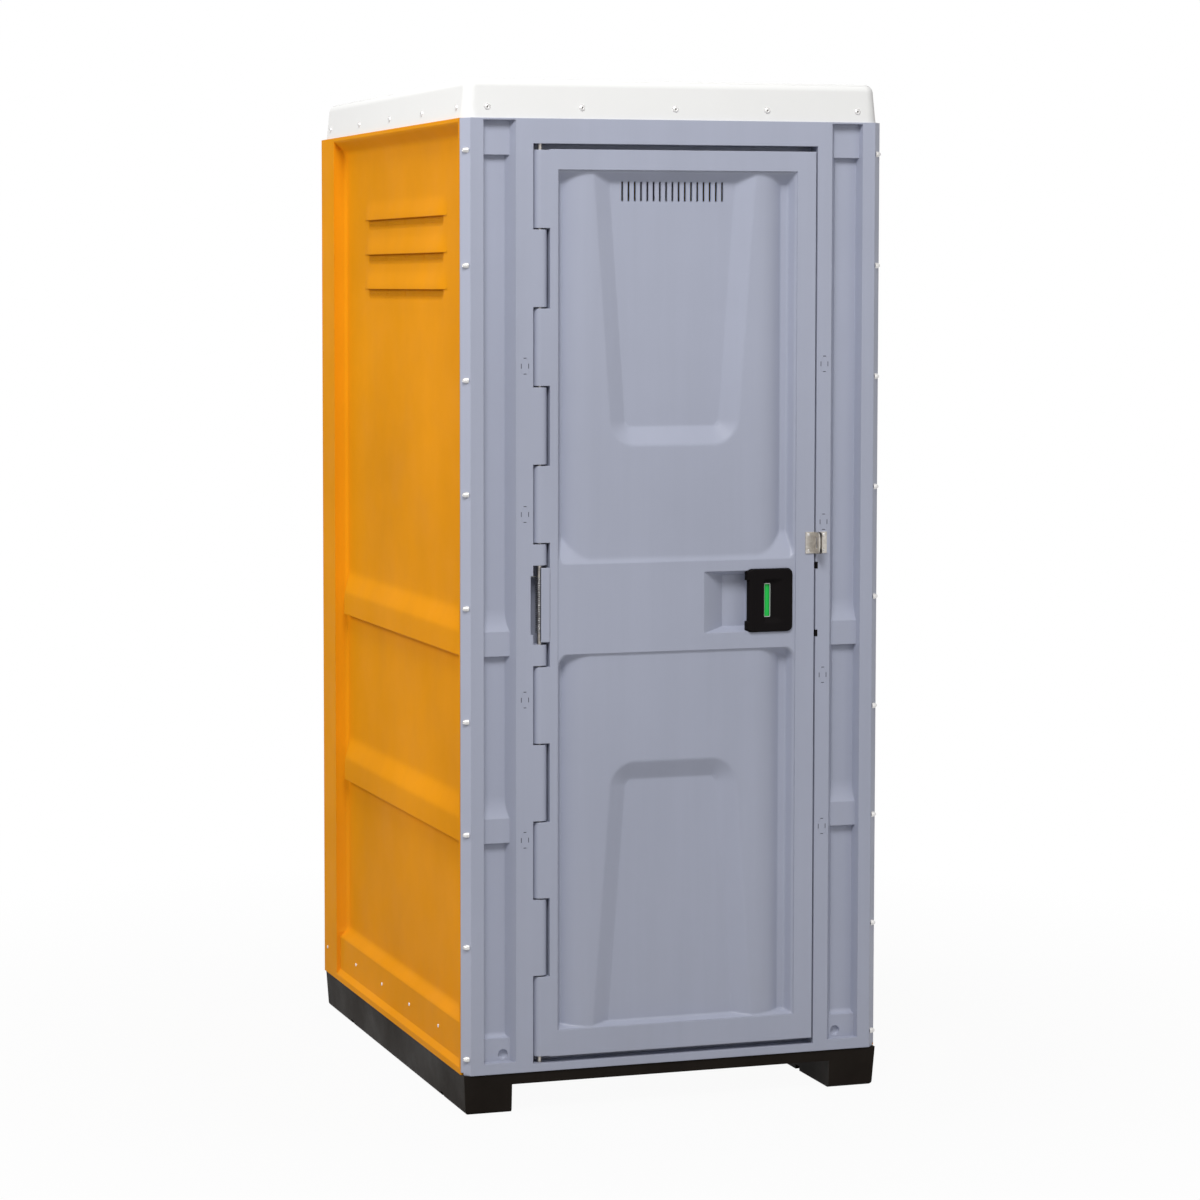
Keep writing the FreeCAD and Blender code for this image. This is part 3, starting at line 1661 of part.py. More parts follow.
def soften(body, name, kind, size, wanted):
    """Rounds or chamfers those edges of a body that pass a test."""
    doc.recompute()
    tip = body.Tip
    picked = [
        f"Edge{n}" for n, edge in enumerate(tip.Shape.Edges, start=1) if wanted(edge)
    ]
    edges = body.newObject(f"PartDesign::{kind}", name)
    edges.Base = (tip, picked)
    bind(edges, {"Fillet": "Radius", "Chamfer": "Size"}[kind], size)
    return body


def level_at(height):
    """A test for edges that lie level at a height."""
    def test(edge):
        ends = edge.BoundBox
        return abs(ends.ZMin - height) < 1e-3 and abs(ends.ZMax - height) < 1e-3
    return test


def corner_cut(x, y, clip):
    """Both ends of a slant across one corner, anticlockwise."""
    across = clip * math.copysign(1, x.number)
    along = clip * math.copysign(1, y.number)
    pair = [(x, y - along), (x - across, y)]
    return pair if x.number * y.number > 0 else pair[::-1]


def roof_form(tag, back):
    """The roof's outer form, or with a back offset the hollow under it."""
    wide = half_width - s.roof_set - back
    deep = half_depth - s.roof_set - back
    corner = s.roof_corner - back
    if tag == "out":
        outline = rounded((-wide, wide), (-deep, deep), corner, corner)
    else:
        clip = corner * 0.7
        outline = [
            (x, y)
            for across, along in ((wide, deep), (-wide, deep), (-wide, -deep), (wide, -deep))
            for x, y in corner_cut(across, along, clip)
        ]
    angle = -math.degrees(math.atan(s.roof_taper.number / s.roof_high.number))
    lean = Size(angle, "(-atan(Sizes.roof_taper / Sizes.roof_high))")
    high = s.roof_high - back
    cap = padded(f"roof_{tag}", [outline], high, lean)
    if tag == "out":
        soften(cap, "roof_round", "Fillet", s.roof_round, level_at(high.number))
    edge = s.roof_taper + s.roof_round + s.roof_set
    ridge, deep = s.roof_ridge_width / 2, s.roof_ridge_depth / 2
    crown = taper(
        f"roof_{tag}_crown", (-1, s.roof_crown),
        (edge - half_width, half_width - edge, edge - half_depth, half_depth - edge),
        (-ridge, ridge, -deep, deep),
    )
    place(crown, z=high, turn=STAND_UP)
    return joined(f"roof_{tag}_form", cap, crown)


def roof():
    """The roof cap: a leaning skirt, a round shoulder and a hipped crown."""
    mouth = s.skin + 1
    hollow = joined(
        "roof_hollow", roof_form("in", s.skin),
        box("roof_mouth",
            (-half_width + s.roof_set + mouth + s.roof_corner,
             half_width - s.roof_set - mouth - s.roof_corner),
            (-half_depth + s.roof_set + mouth + s.roof_corner,
             half_depth - s.roof_set - mouth - s.roof_corner),
            (-1, 1)),
    )
    hole = rod(
        "roof_pipe_hole", s.pipe_radius + s.seat_gap, s.roof_high * 2,
        s.pipe_x, s.pipe_y, 0,
    )
    cap = cut("roof_cap", roof_form("out", as_size(0)), hollow, hole)
    return place(node("roof", cap), z=s.wall_top)


# Rivets of the shell

FACE_LEFT = Rotation(Vector(0, 1, 0), -90)
FACE_RIGHT = Rotation(Vector(0, 1, 0), 90)
FACE_BACK = Rotation(Vector(1, 0, 0), -90)


def spread(count, pitch, middle=0):
    """Places at an even pitch about a middle."""
    number = count_of(count)
    return [middle + pitch * (n - (number - 1) / 2) for n in range(number)]


def shell_rivets():
    """Rivets of the front corners, rear sheet, roof skirt and bottom band."""
    heights = [
        s.corner_rivet_low + s.corner_rivet_pitch * n
        for n in range(count_of(s.corner_rivets))
    ]
    corner, front, rear = [], [], []
    shell, small = s.rivet_radius, s.small_rivet_radius
    reach = half_width - s.front_lap / 2
    for side in (-1, 1):
        slant = Rotation(Vector(0, 0, 1), Vector(side, -1, 0))
        for n, height in enumerate(heights):
            corner.append(rivet_head(
                f"corner_rivet_{side + 1}_{n}", shell, reach * side,
                -half_depth + s.front_lap / 2, height, slant,
            ))
            rear.append(rivet_head(
                f"rear_rivet_{side + 1}_{n}", shell,
                (half_width - s.rear_rivet_in) * side,
                half_depth, height, FACE_BACK,
            ))
    row("corner_rivets", corner)
    row("rear_rivets", rear)
    up = s.wall_top + s.roof_rivet_up
    skirt = s.roof_taper / s.roof_high * s.roof_rivet_up + s.roof_set
    tilt = math.degrees(math.atan(s.roof_taper.number / s.roof_high.number))
    for n, x in enumerate(spread(s.roof_rivets, s.roof_rivet_front_pitch)):
        front.append(rivet_head(
            f"roof_front_{n}", shell, x, -half_depth + skirt, up,
            Rotation(Vector(1, 0, 0), 90 - tilt),
        ))
        front.append(rivet_head(
            f"roof_rear_{n}", shell, x, half_depth - skirt, up,
            Rotation(Vector(1, 0, 0), tilt - 90),
        ))
    for n, y in enumerate(spread(s.roof_rivets, s.roof_rivet_side_pitch)):
        for side in (-1, 1):
            front.append(rivet_head(
                f"roof_side_{side + 1}_{n}", shell, (half_width - skirt) * side, y, up,
                Rotation(Vector(0, 1, 0), (90 - tilt) * side),
            ))
    row("roof_rivets", front)
    rim_edge = half_depth - s.rear_lap - s.rear_rim
    foot = []
    for n, y in enumerate(spread(s.base_rivets, s.base_rivet_pitch, s.base_rivet_mid)):
        on_rim = y.number > rim_edge.number
        face = half_width if on_rim else half_width - s.band_depth
        for side, turn in ((-1, FACE_LEFT), (1, FACE_RIGHT)):
            foot.append(rivet_head(
                f"base_rivet_{side + 1}_{n}", small, face * side, y, s.base_rivet_z,
                turn,
            ))
    for n, x in enumerate(spread(s.base_rear_rivets, s.base_rivet_pitch)):
        foot.append(rivet_head(
            f"base_rear_rivet_{n}", small, x, half_depth - s.band_depth,
            s.base_rivet_z, FACE_BACK,
        ))
    row("base_rivets", foot)


# Tank and seat

tank_x = web_x - s.tank_side_gap
tank_back = half_depth - s.panel_depth - s.tank_side_gap
tank_low = floor_top + s.seat_gap
tank_top = tank_low + s.tank_height
pin_y = s.pan_y + s.seat_hinge_back
pin_z = tank_top + s.boss_rise + s.seat_gap + s.seat_pin_rise


def tank_form(name, skin, low_skin):
    """The tank's outer form, or with a skin its hollow."""
    front = s.tank_front + s.tank_slope
    top = tank_top - skin
    low = tank_low + low_skin
    bend = s.tank_round
    points = [
        (s.tank_front + skin, low), (tank_back - skin, low),
        (tank_back - skin, top),
        (front + bend, top, bend - skin), (front + skin, tank_top - bend),
    ]
    return prism(name, points, -tank_x + skin, tank_x - skin, along="x")


def waste_tank():
    """The holding tank with the pan hole, its rim and the seat's hinge lugs."""
    skin = s.tank_skin
    lugs = []
    for side in (-1, 1):
        middle = s.lug_x * side
        ends = (middle - s.ear_thick / 2, middle + s.ear_thick / 2)
        lugs += [
            box(f"lug_{side + 1}", ends, (pin_y - s.ear_radius, pin_y + s.ear_radius),
                (tank_top - 1, pin_z)),
            facet_rod(f"lug_top_{side + 1}", s.ear_sides, s.ear_radius, s.ear_thick,
                      ends[0], pin_y, pin_z, FACE_RIGHT),
        ]
    whole = joined(
        "tank_whole",
        cut("tank_shell", tank_form("tank_blank", as_size(0), as_size(0)),
            tank_form("tank_inside", skin, skin)),
        facet_rod("tank_boss", s.wide_sides, s.boss_radius, s.boss_rise + 1, 0,
                  s.pan_y, tank_top - 1),
        *lugs,
    )
    hole = facet_rod("pan_hole", s.wide_sides, s.pan_radius, skin + s.boss_rise + 2, 0,
                     s.pan_y, tank_top - skin - 1)
    vent = facet_rod("tank_vent_hole", s.wide_sides, s.pipe_radius + s.seat_gap,
                     skin + 2, s.pipe_x, s.pipe_y, tank_top - skin - 1)
    drain = facet_rod("tank_drain_hole", s.slim_sides, s.drain_radius + s.seat_gap,
                      s.tank_slope + skin * 4, drain_x, s.tank_front - 1, s.drain_z,
                      FACE_BACK)
    pin = rod("lug_bores", s.seat_pin_radius, s.lug_x * 2 + s.ear_thick,
              -s.lug_x - s.ear_thick / 2, pin_y, pin_z, FACE_RIGHT)
    return node("waste_tank", cut("tank", whole, hole, vent, drain, pin))


# The seat's boards are drawn lying flat, with the hinge pin's axis as origin.

def seat_outline(width, long):
    """An oval of straight sides, in front of the hinge pin."""
    half, reach = width / 2, long / 2 - width / 2
    steps = count_of(s.seat_sides)
    points = []
    for end in (1, -1):
        for n in range(steps + 1):
            angle = math.pi * n / steps
            points.append((
                half * (math.cos(angle) * end),
                (reach + half * math.sin(angle)) * end - s.seat_hinge_back,
            ))
    return points


def seat_board(label, width, long, low, thick, ear, arm, holes, opened):
    """A board of the seat: an oval with rounded edges and two hinge ears."""
    outlines = [seat_outline(width, long)] + holes
    board = soften(
        padded(label, outlines, thick), f"{label}_edge", "Chamfer", thick / 3,
        level_at(thick.number),
    )
    place(board, z=low)
    ears = []
    for side in (-1, 1):
        left, right = ear * side - s.ear_thick / 2, ear * side + s.ear_thick / 2
        ears += [
            facet_rod(f"{label}_barrel_{side + 1}", s.ear_sides, s.ear_radius,
                      s.ear_thick, left, turn=FACE_RIGHT),
            box(f"{label}_arm_{side + 1}", (left, right),
                (s.seat_long / 2 - s.seat_hinge_back - s.ear_radius * 2, 0), arm),
        ]
    bore = rod(f"{label}_bore", s.seat_pin_radius + s.running_fit, s.lug_x * 2,
               -s.lug_x, turn=FACE_RIGHT)
    board = cut(f"{label}_bored", joined(f"{label}_whole", board, *ears), bore)
    return place(
        node(label, board), 0, pin_y, pin_z, Rotation(Vector(1, 0, 0), -opened)
    )


def seat():
    """The seat ring, its lid leaning open, and the pin that both turn on."""
    step = s.ear_thick + s.ear_gap
    ring_low = -s.seat_pin_rise
    ring_top = ring_low + s.seat_thick
    seat_board(
        "seat_ring", s.seat_width, s.seat_long, ring_low, s.seat_thick,
        s.lug_x - step, (-s.ear_radius / 2, ring_top - s.seat_gap),
        [seat_outline(s.seat_hole_width, s.seat_hole_long)], 0,
    )
    lid_low = ring_top + s.lid_gap
    seat_board(
        "seat_lid", s.seat_width + s.lid_over * 2, s.seat_long + s.lid_over * 2,
        lid_low, s.lid_thick, s.lug_x - step * 2,
        (lid_low, lid_low + s.lid_thick / 2), [], s.lid_open.number,
    )
    half = s.lug_x + s.ear_thick / 2
    pin = rod("seat_pin", s.seat_pin_radius, half * 2, -half, pin_y, pin_z, FACE_RIGHT)
    node("seat_hinge_pin", pin)


# Vent pipe

def revolved(name, points):
    """A body turned about its own Z axis from an outline of (radius, z) points."""
    body = doc.addObject("PartDesign::Body", f"{name}_body")
    sketch = body.newObject("Sketcher::SketchObject", f"{name}_sketch")
    attach(sketch, body, "XZ_Plane")
    draw(sketch, points)
    turn = body.newObject("PartDesign::Revolution", f"{name}_turn")
    turn.Profile = sketch
    turn.ReferenceAxis = (sketch, ["V_Axis"])
    turn.Angle = 360
    return body


def vent_pipe():
    """The pipe that airs the tank through the roof."""
    low = tank_top - s.pipe_dip
    outer, inner = s.pipe_radius, s.pipe_radius - s.pipe_wall
    pipe = revolved("vent_pipe", [
        (inner, 0), (outer, 0), (outer, s.pipe_top - low), (inner, s.pipe_top - low),
    ])
    return place(node("vent_pipe", pipe), s.pipe_x, s.pipe_y, low)


def vent_cap():
    """The rain cap: a collar on the pipe, three posts and a skirted lid."""
    fit, wall, sides = s.seat_gap, s.pipe_wall, s.wide_sides
    grip_in = s.pipe_radius + fit
    low, top = -s.pipe_dip / 2, s.cap_gap
    collar = cut(
        "cap_collar",
        facet_rod("collar_blank", sides, grip_in + wall, fit + wall - low, z=low),
        facet_rod("collar_seat", sides, grip_in, fit - low + 1, z=low - 1),
        facet_rod("collar_throat", sides, grip_in - wall * 2, fit + wall + 1, z=0),
    )
    hood = cut(
        "cap_hood",
        facet_rod("hood_blank", sides, s.cap_radius, s.cap_skirt + wall,
                  z=top - s.cap_skirt),
        facet_rod("hood_inside", sides, s.cap_radius - wall, s.cap_skirt + 1,
                  z=top - s.cap_skirt - 1),
    )
    posts = []
    for n in range(3):
        turn = math.radians(120 * n)
        reach = grip_in + wall / 2
        posts.append(facet_rod(
            f"cap_post_{n}", s.ear_sides, wall / 2, top, reach * math.cos(turn),
            reach * math.sin(turn), fit + wall / 2,
        ))
    cap = joined("cap_whole", collar, hood, *posts)
    return place(node("vent_cap", cap), s.pipe_x, s.pipe_y, s.pipe_top)


# Urinal, paper holder and hook

wall_face = half_width - s.field_depth - s.skin - s.seat_gap
drain_x = -wall_face + s.urinal_lip


def urinal_form(name, wall):
    """The urinal's side profile, or with a wall its hollow."""
    back, front = -wall_face + wall, -wall_face + s.urinal_out - wall
    low, high = s.urinal_z + wall, s.urinal_z + s.urinal_height + wall
    lip = s.urinal_z + s.urinal_height / 2
    bend = s.urinal_out - s.urinal_lip - wall
    half = s.urinal_width / 2 - wall
    points = [
        (back, low), (front - bend, low, bend), (front, low + bend), (front, lip + wall),
        (back + s.urinal_lip / 2, high), (back, high),
    ]
    return prism(name, points, s.urinal_y - half, s.urinal_y + half, along="y")


def urinal():
    """The bowl on the left wall, open in front of its back plate."""
    bowl = cut(
        "urinal_bowl", urinal_form("urinal_blank", as_size(0)),
        urinal_form("urinal_inside", s.urinal_wall),
        facet_rod("urinal_outlet", s.slim_sides, s.drain_radius - s.drain_wall,
                  s.urinal_wall * 3, drain_x, s.urinal_y, s.urinal_z - s.urinal_wall),
    )
    return node("urinal", bowl)


def urinal_drain():
    """The pipe from the urinal down and back into the tank."""
    drop = s.urinal_z - s.seat_gap - s.drain_z
    run = s.tank_front + s.tank_slope - s.urinal_y
    bend = s.drain_bend
    turns = [
        (bend * (1 - math.cos(angle)), bend * (1 - math.sin(angle)) - drop)
        for angle in (math.pi / 6 * n for n in range(4))
    ]
    path = doc.addObject("Sketcher::SketchObject", "drain_path")
    place(open_route(path, [(0, 0), *turns, (run, -drop)]), turn=ACROSS)
    tubes = []
    for tag, radius in (("outer", s.drain_radius), ("bore", s.drain_radius - s.drain_wall)):
        tube = doc.addObject("Part::Sweep", f"drain_{tag}")
        tube.Sections = [polygon(f"drain_{tag}_outline", count_of(s.slim_sides), radius)]
        tube.Spine = (path, [])
        tube.Solid = True
        tube.Transition = "Right corner"
        tubes.append(tube)
    pipe = cut("drain_pipe", *tubes)
    return place(
        node("urinal_drain", pipe), drain_x, s.urinal_y, s.urinal_z - s.seat_gap
    )


def open_route(sketch, route):
    """Draws an open run of straight lines that the sheet drives."""
    corners = [Vector(as_size(x).number, as_size(y).number, 0) for x, y in route]
    last = None
    for n, (start, end) in enumerate(zip(corners, corners[1:])):
        edge = sketch.addGeometry(Part.LineSegment(start, end), False)
        if last is not None:
            sketch.addConstraint(Sketcher.Constraint("Coincident", last, 2, edge, 1))
        lock_point(sketch, edge, 1, *route[n], f"r{n}")
        last = edge
    lock_point(sketch, last, 2, *route[-1], "end")
    return sketch


roll_x = wall_face - s.roll_radius - s.holder_plate - s.roll_gap
spindle = s.roll_core - s.seat_gap * 4


def paper_holder():
    """The holder on the right wall: back plate, two arms and a spindle."""
    reach = s.roll_width / 2 + s.roll_gap
    plate = s.holder_plate
    y, z = s.holder_y, s.holder_z
    half = s.roll_core + s.holder_plate
    arms = []
    for side in (-1, 1):
        low, high = span((reach + plate) * side + y, reach * side + y)
        arms += [
            box(f"holder_arm_{side + 1}", (roll_x, wall_face - 1), (low, high),
                (z - half, z + half)),
            facet_rod(f"holder_end_{side + 1}", s.slim_sides, half, plate, roll_x, low,
                      z, FACE_BACK),
        ]
    holder = joined(
        "holder_whole",
        box("holder_back", (wall_face - plate, wall_face), (y - reach - plate, y + reach + plate),
            (z - half, z + half)),
        facet_rod("holder_spindle", s.slim_sides, spindle, reach * 2 + plate, roll_x,
                  y - reach - plate / 2, z, FACE_BACK),
        *arms,
    )
    return node("paper_holder", holder)


def paper_roll():
    """The roll that turns on the spindle."""
    roll = cut(
        "roll_whole",
        facet_rod("roll_paper", s.wide_sides, s.roll_radius, s.roll_width),
        rod("roll_hole", s.roll_core, s.roll_width + 2, z=-1),
    )
    return place(
        node("paper_roll", roll), roll_x, s.holder_y - s.roll_width / 2, s.holder_z,
        FACE_BACK,
    )


def coat_hook():
    """A hook on the right wall: plate and upturned peg."""
    thick, z = s.hook_thick, s.hook_z
    out = s.hook_out
    bend = out / 2
    left = wall_face - thick
    peg = prism("hook_peg", [
        (left + 1, z), (left + 1, z + thick), (left - out + thick * 2, z + thick, -thick),
        (left - out + thick, z + thick * 2), (left - out + thick, z + bend),
        (left - out, z + bend), (left - out, z + thick * 2, thick * 2),
        (left - out + thick * 2, z),
    ], s.hook_y - thick, s.hook_y + thick, along="y")
    plate = box(
        "hook_plate", (left, wall_face), (s.hook_y - bend / 2 - thick, s.hook_y + bend / 2 + thick),
        (z - bend, z + bend + thick),
    )
    return node("coat_hook", joined("hook_whole", plate, peg))


front_frame()
strike_plate()
hinge_rod()
door_leaf()
lock_escutcheon()
lock_case()
lock_bolt()
indicator("indicator_red", flag_split - flag_wide)
indicator("indicator_green", flag_split)
door_pull()
hasp("door_hasp", (hasp_plate_left, leaf_right + s.hasp_over),
     (leaf_right + s.hasp_over - s.hasp_thick, leaf_right + s.hasp_over))
hasp("frame_hasp", (frame_lug_left, frame_lug_left + s.hasp_plate),
     (frame_lug_left, frame_lug_left + s.hasp_thick))
hasp_rivets("door_hasp_rivets", hasp_plate_left + s.hasp_plate / 3)
hasp_rivets("frame_hasp_rivets", frame_lug_left + s.hasp_plate * 2 / 3)
closer_cover()
closer_spring()
base_pallet()
floor_pan()
roof()
shell_rivets()
waste_tank()
seat()
vent_pipe()
vent_cap()
urinal()
urinal_drain()
paper_holder()
paper_roll()
coat_hook()

doc.recompute()
for item in doc.Objects:
    if {"Invalid", "Error"} & set(item.State):
        raise RuntimeError(f"{item.Label} failed: {item.State}")
for item in nodes:
    if item.Shape.isNull() or not item.Shape.isValid():
        raise RuntimeError(f"{item.Label} has no sound shape")

os.makedirs("parts", exist_ok=True)
for item in nodes:
    item.Shape.exportStep(f"parts/{item.Label}.step")
print(f"{len(nodes)} pieces written")
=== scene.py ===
"""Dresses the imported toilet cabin: finishes, rivets, closer coil, louvre screens and fittings."""

import logging
import math
from dataclasses import dataclass, field
from enum import Enum
from typing import Any, Callable, Iterable, Sequence

import bmesh
import bpy
from mathutils.bvhtree import BVHTree
from mathutils import Matrix, Vector


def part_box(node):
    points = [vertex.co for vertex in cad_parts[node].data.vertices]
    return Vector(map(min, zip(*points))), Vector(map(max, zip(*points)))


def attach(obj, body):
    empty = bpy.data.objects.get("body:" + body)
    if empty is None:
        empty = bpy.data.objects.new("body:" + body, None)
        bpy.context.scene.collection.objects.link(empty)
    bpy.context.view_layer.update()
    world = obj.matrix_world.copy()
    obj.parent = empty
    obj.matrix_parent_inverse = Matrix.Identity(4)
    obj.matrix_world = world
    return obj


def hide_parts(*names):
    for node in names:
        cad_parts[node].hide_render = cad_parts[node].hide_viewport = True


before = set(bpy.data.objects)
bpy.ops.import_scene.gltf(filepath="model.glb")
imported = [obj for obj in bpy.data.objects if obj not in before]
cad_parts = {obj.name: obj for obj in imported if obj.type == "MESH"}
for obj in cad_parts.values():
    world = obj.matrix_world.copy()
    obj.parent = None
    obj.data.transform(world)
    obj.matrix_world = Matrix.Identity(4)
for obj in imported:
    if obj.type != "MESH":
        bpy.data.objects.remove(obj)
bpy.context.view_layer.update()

LOG = logging.getLogger("cabin")
MERGE = 0.00002  # metres under which two points are one
LONE_EDGE = 9.0  # the angle that an edge with a single face counts as, so that it stays sharp
FULL_TURN = 2 * math.pi
QUARTER_TURN = math.pi / 2

Colour = tuple[float, float, float]
Point = tuple[float, float, float]
Socket = bpy.types.NodeSocket
Mesh = bpy.types.Mesh
Work = bmesh.types.BMesh
WorkFace = bmesh.types.BMFace


class Body(Enum):
    """The bodies of the frame that pieces ride on."""

    CABIN = "cabin"
    DOOR = "door"
    SEAT_RING = "seat_ring"
    SEAT_LID = "seat_lid"
    PAPER_ROLL = "paper_roll"


class Side(Enum):
    """The two side walls, by the sign of X that they stand at."""

    LEFT = -1
    RIGHT = 1


class Graph:
    """A node tree being drawn, with short ways to add nodes and join them."""

    def __init__(self, tree: bpy.types.NodeTree) -> None:
        """Starts an empty drawing.

        Args:
            tree: the tree that gets the nodes.
        """
        self.tree = tree
        tree.nodes.clear()

    def add(
        self,
        kind: str,
        settings: dict[str, Any] | None = None,
        inputs: dict[str | int, Any] | None = None,
    ) -> bpy.types.Node:
        """Adds one node.

        Args:
            kind: the node's type.
            settings: properties of the node itself.
            inputs: values or sockets for its inputs, by name or number.

        Returns:
            The new node.
        """
        node = self.tree.nodes.new(kind)
        for key, value in (settings or {}).items():
            setattr(node, key, value)
        for key, value in (inputs or {}).items():
            socket = node.inputs[key]
            if isinstance(value, Socket):
                self.tree.links.new(value, socket)
            else:
                socket.default_value = value
        return node

    def one(self, kind: str, inputs: dict[str | int, Any], **settings: Any) -> Socket:
        """Adds one node and gives its first output."""
        return self.add(kind, settings, inputs).outputs[0]

    def math(self, operation: str, first: Any, second: Any = 0.0) -> Socket:
        """One sum on numbers.

        Args:
            operation: the Math node's operation.
            first: its first value or socket.
            second: its second value or socket.

        Returns:
            The result's socket, clamped to 0 to 1.
        """
        return self.one("ShaderNodeMath", {0: first, 1: second}, operation=operation, use_clamp=True)

    def noise(self, place: Socket, scale: float, detail: float, rough: float = 0.5) -> Socket:
        """Cloudy noise from 0 to 1.

        Args:
            place: the coordinates.
            scale: how many clouds there are to a metre.
            detail: how many finer layers it has.
            rough: how strong these are.

        Returns:
            The noise's socket.
        """
        return self.one(
            "ShaderNodeTexNoise",
            {"Vector": place, "Scale": scale, "Detail": detail, "Roughness": rough},
        )

    def ramp(self, value: Socket, start: float, end: float, low: float, high: float) -> Socket:
        """Maps start to end onto low to high, held at both ends.

        Args:
            value: the socket that is mapped.
            start: the value that gives low.
            end: the value that gives high.
            low: the result at start.
            high: the result at end.

        Returns:
            The result's socket.
        """
        return self.one(
            "ShaderNodeMapRange",
            {"Value": value, "From Min": start, "From Max": end, "To Min": low, "To Max": high},
            clamp=True,
        )

    def blend(self, share: Any, first: Any, second: Any) -> Socket:
        """Mixes two colours.

        Args:
            share: how much of the second one shows, from 0 to 1.
            first: the first colour or its socket.
            second: the second one.

        Returns:
            The mixed colour's socket.
        """
        node = self.add("ShaderNodeMix", {"data_type": "RGBA"})
        for index, value in ((0, share), (6, first), (7, second)):
            if isinstance(value, Socket):
                self.tree.links.new(value, node.inputs[index])
            elif index:
                node.inputs[index].default_value = (*value, 1.0)
            else:
                node.inputs[index].default_value = value
        return node.outputs[2]

    def bump(self, height: Socket, distance: float, strength: float, normal: Socket | None) -> Socket:
        """Raises the surface by a height field.

        Args:
            height: the field, from 0 to 1.
            distance: metres for 1.
            strength: how strongly it shades.
            normal: the normal that it starts from.

        Returns:
            The new normal's socket.
        """
        inputs: dict[str | int, Any] = {
            "Height": height, "Distance": distance, "Strength": strength,
        }
        if normal is not None:
            inputs["Normal"] = normal
        return self.one("ShaderNodeBump", inputs)

    def join(self, out: Socket, into: Socket) -> None:
        """Joins two sockets."""
        self.tree.links.new(out, into)


def shaded(colour: Colour, share: float) -> Colour:
    """The colour times a share, as a colour."""
    red, green, blue = (min(1.0, part * share) for part in colour)
    return red, green, blue


DRAWN: dict[str, bpy.types.Material] = {}


class Finish:
    """What every finish can do: be drawn once and be given to an object."""

    name: str

    def draw(self, graph: Graph, place: Socket, shader: bpy.types.Node) -> None:
        """Draws the finish into its material, for the finishes to fill in.

        Args:
            graph: the material's drawing.
            place: the object's coordinates.
            shader: the surface's shader.
        """
        raise NotImplementedError

    def material(self) -> bpy.types.Material:
        """The finish as a material, drawn the first time it is asked for.

        Returns:
            The material.
        """
        if self.name in DRAWN:
            return DRAWN[self.name]
        made = DRAWN[self.name] = bpy.data.materials.new(self.name)
        made.use_nodes = True
        graph = Graph(made.node_tree)
        place = graph.add("ShaderNodeTexCoord").outputs["Object"]
        shader = graph.add("ShaderNodeBsdfPrincipled")
        output = graph.add("ShaderNodeOutputMaterial")
        graph.join(shader.outputs[0], output.inputs["Surface"])
        self.draw(graph, place, shader)
        return made

    def on(self, obj: bpy.types.Object) -> None:
        """Gives the finish to every material slot of an object."""
        for slot in obj.material_slots:
            slot.material = self.material()


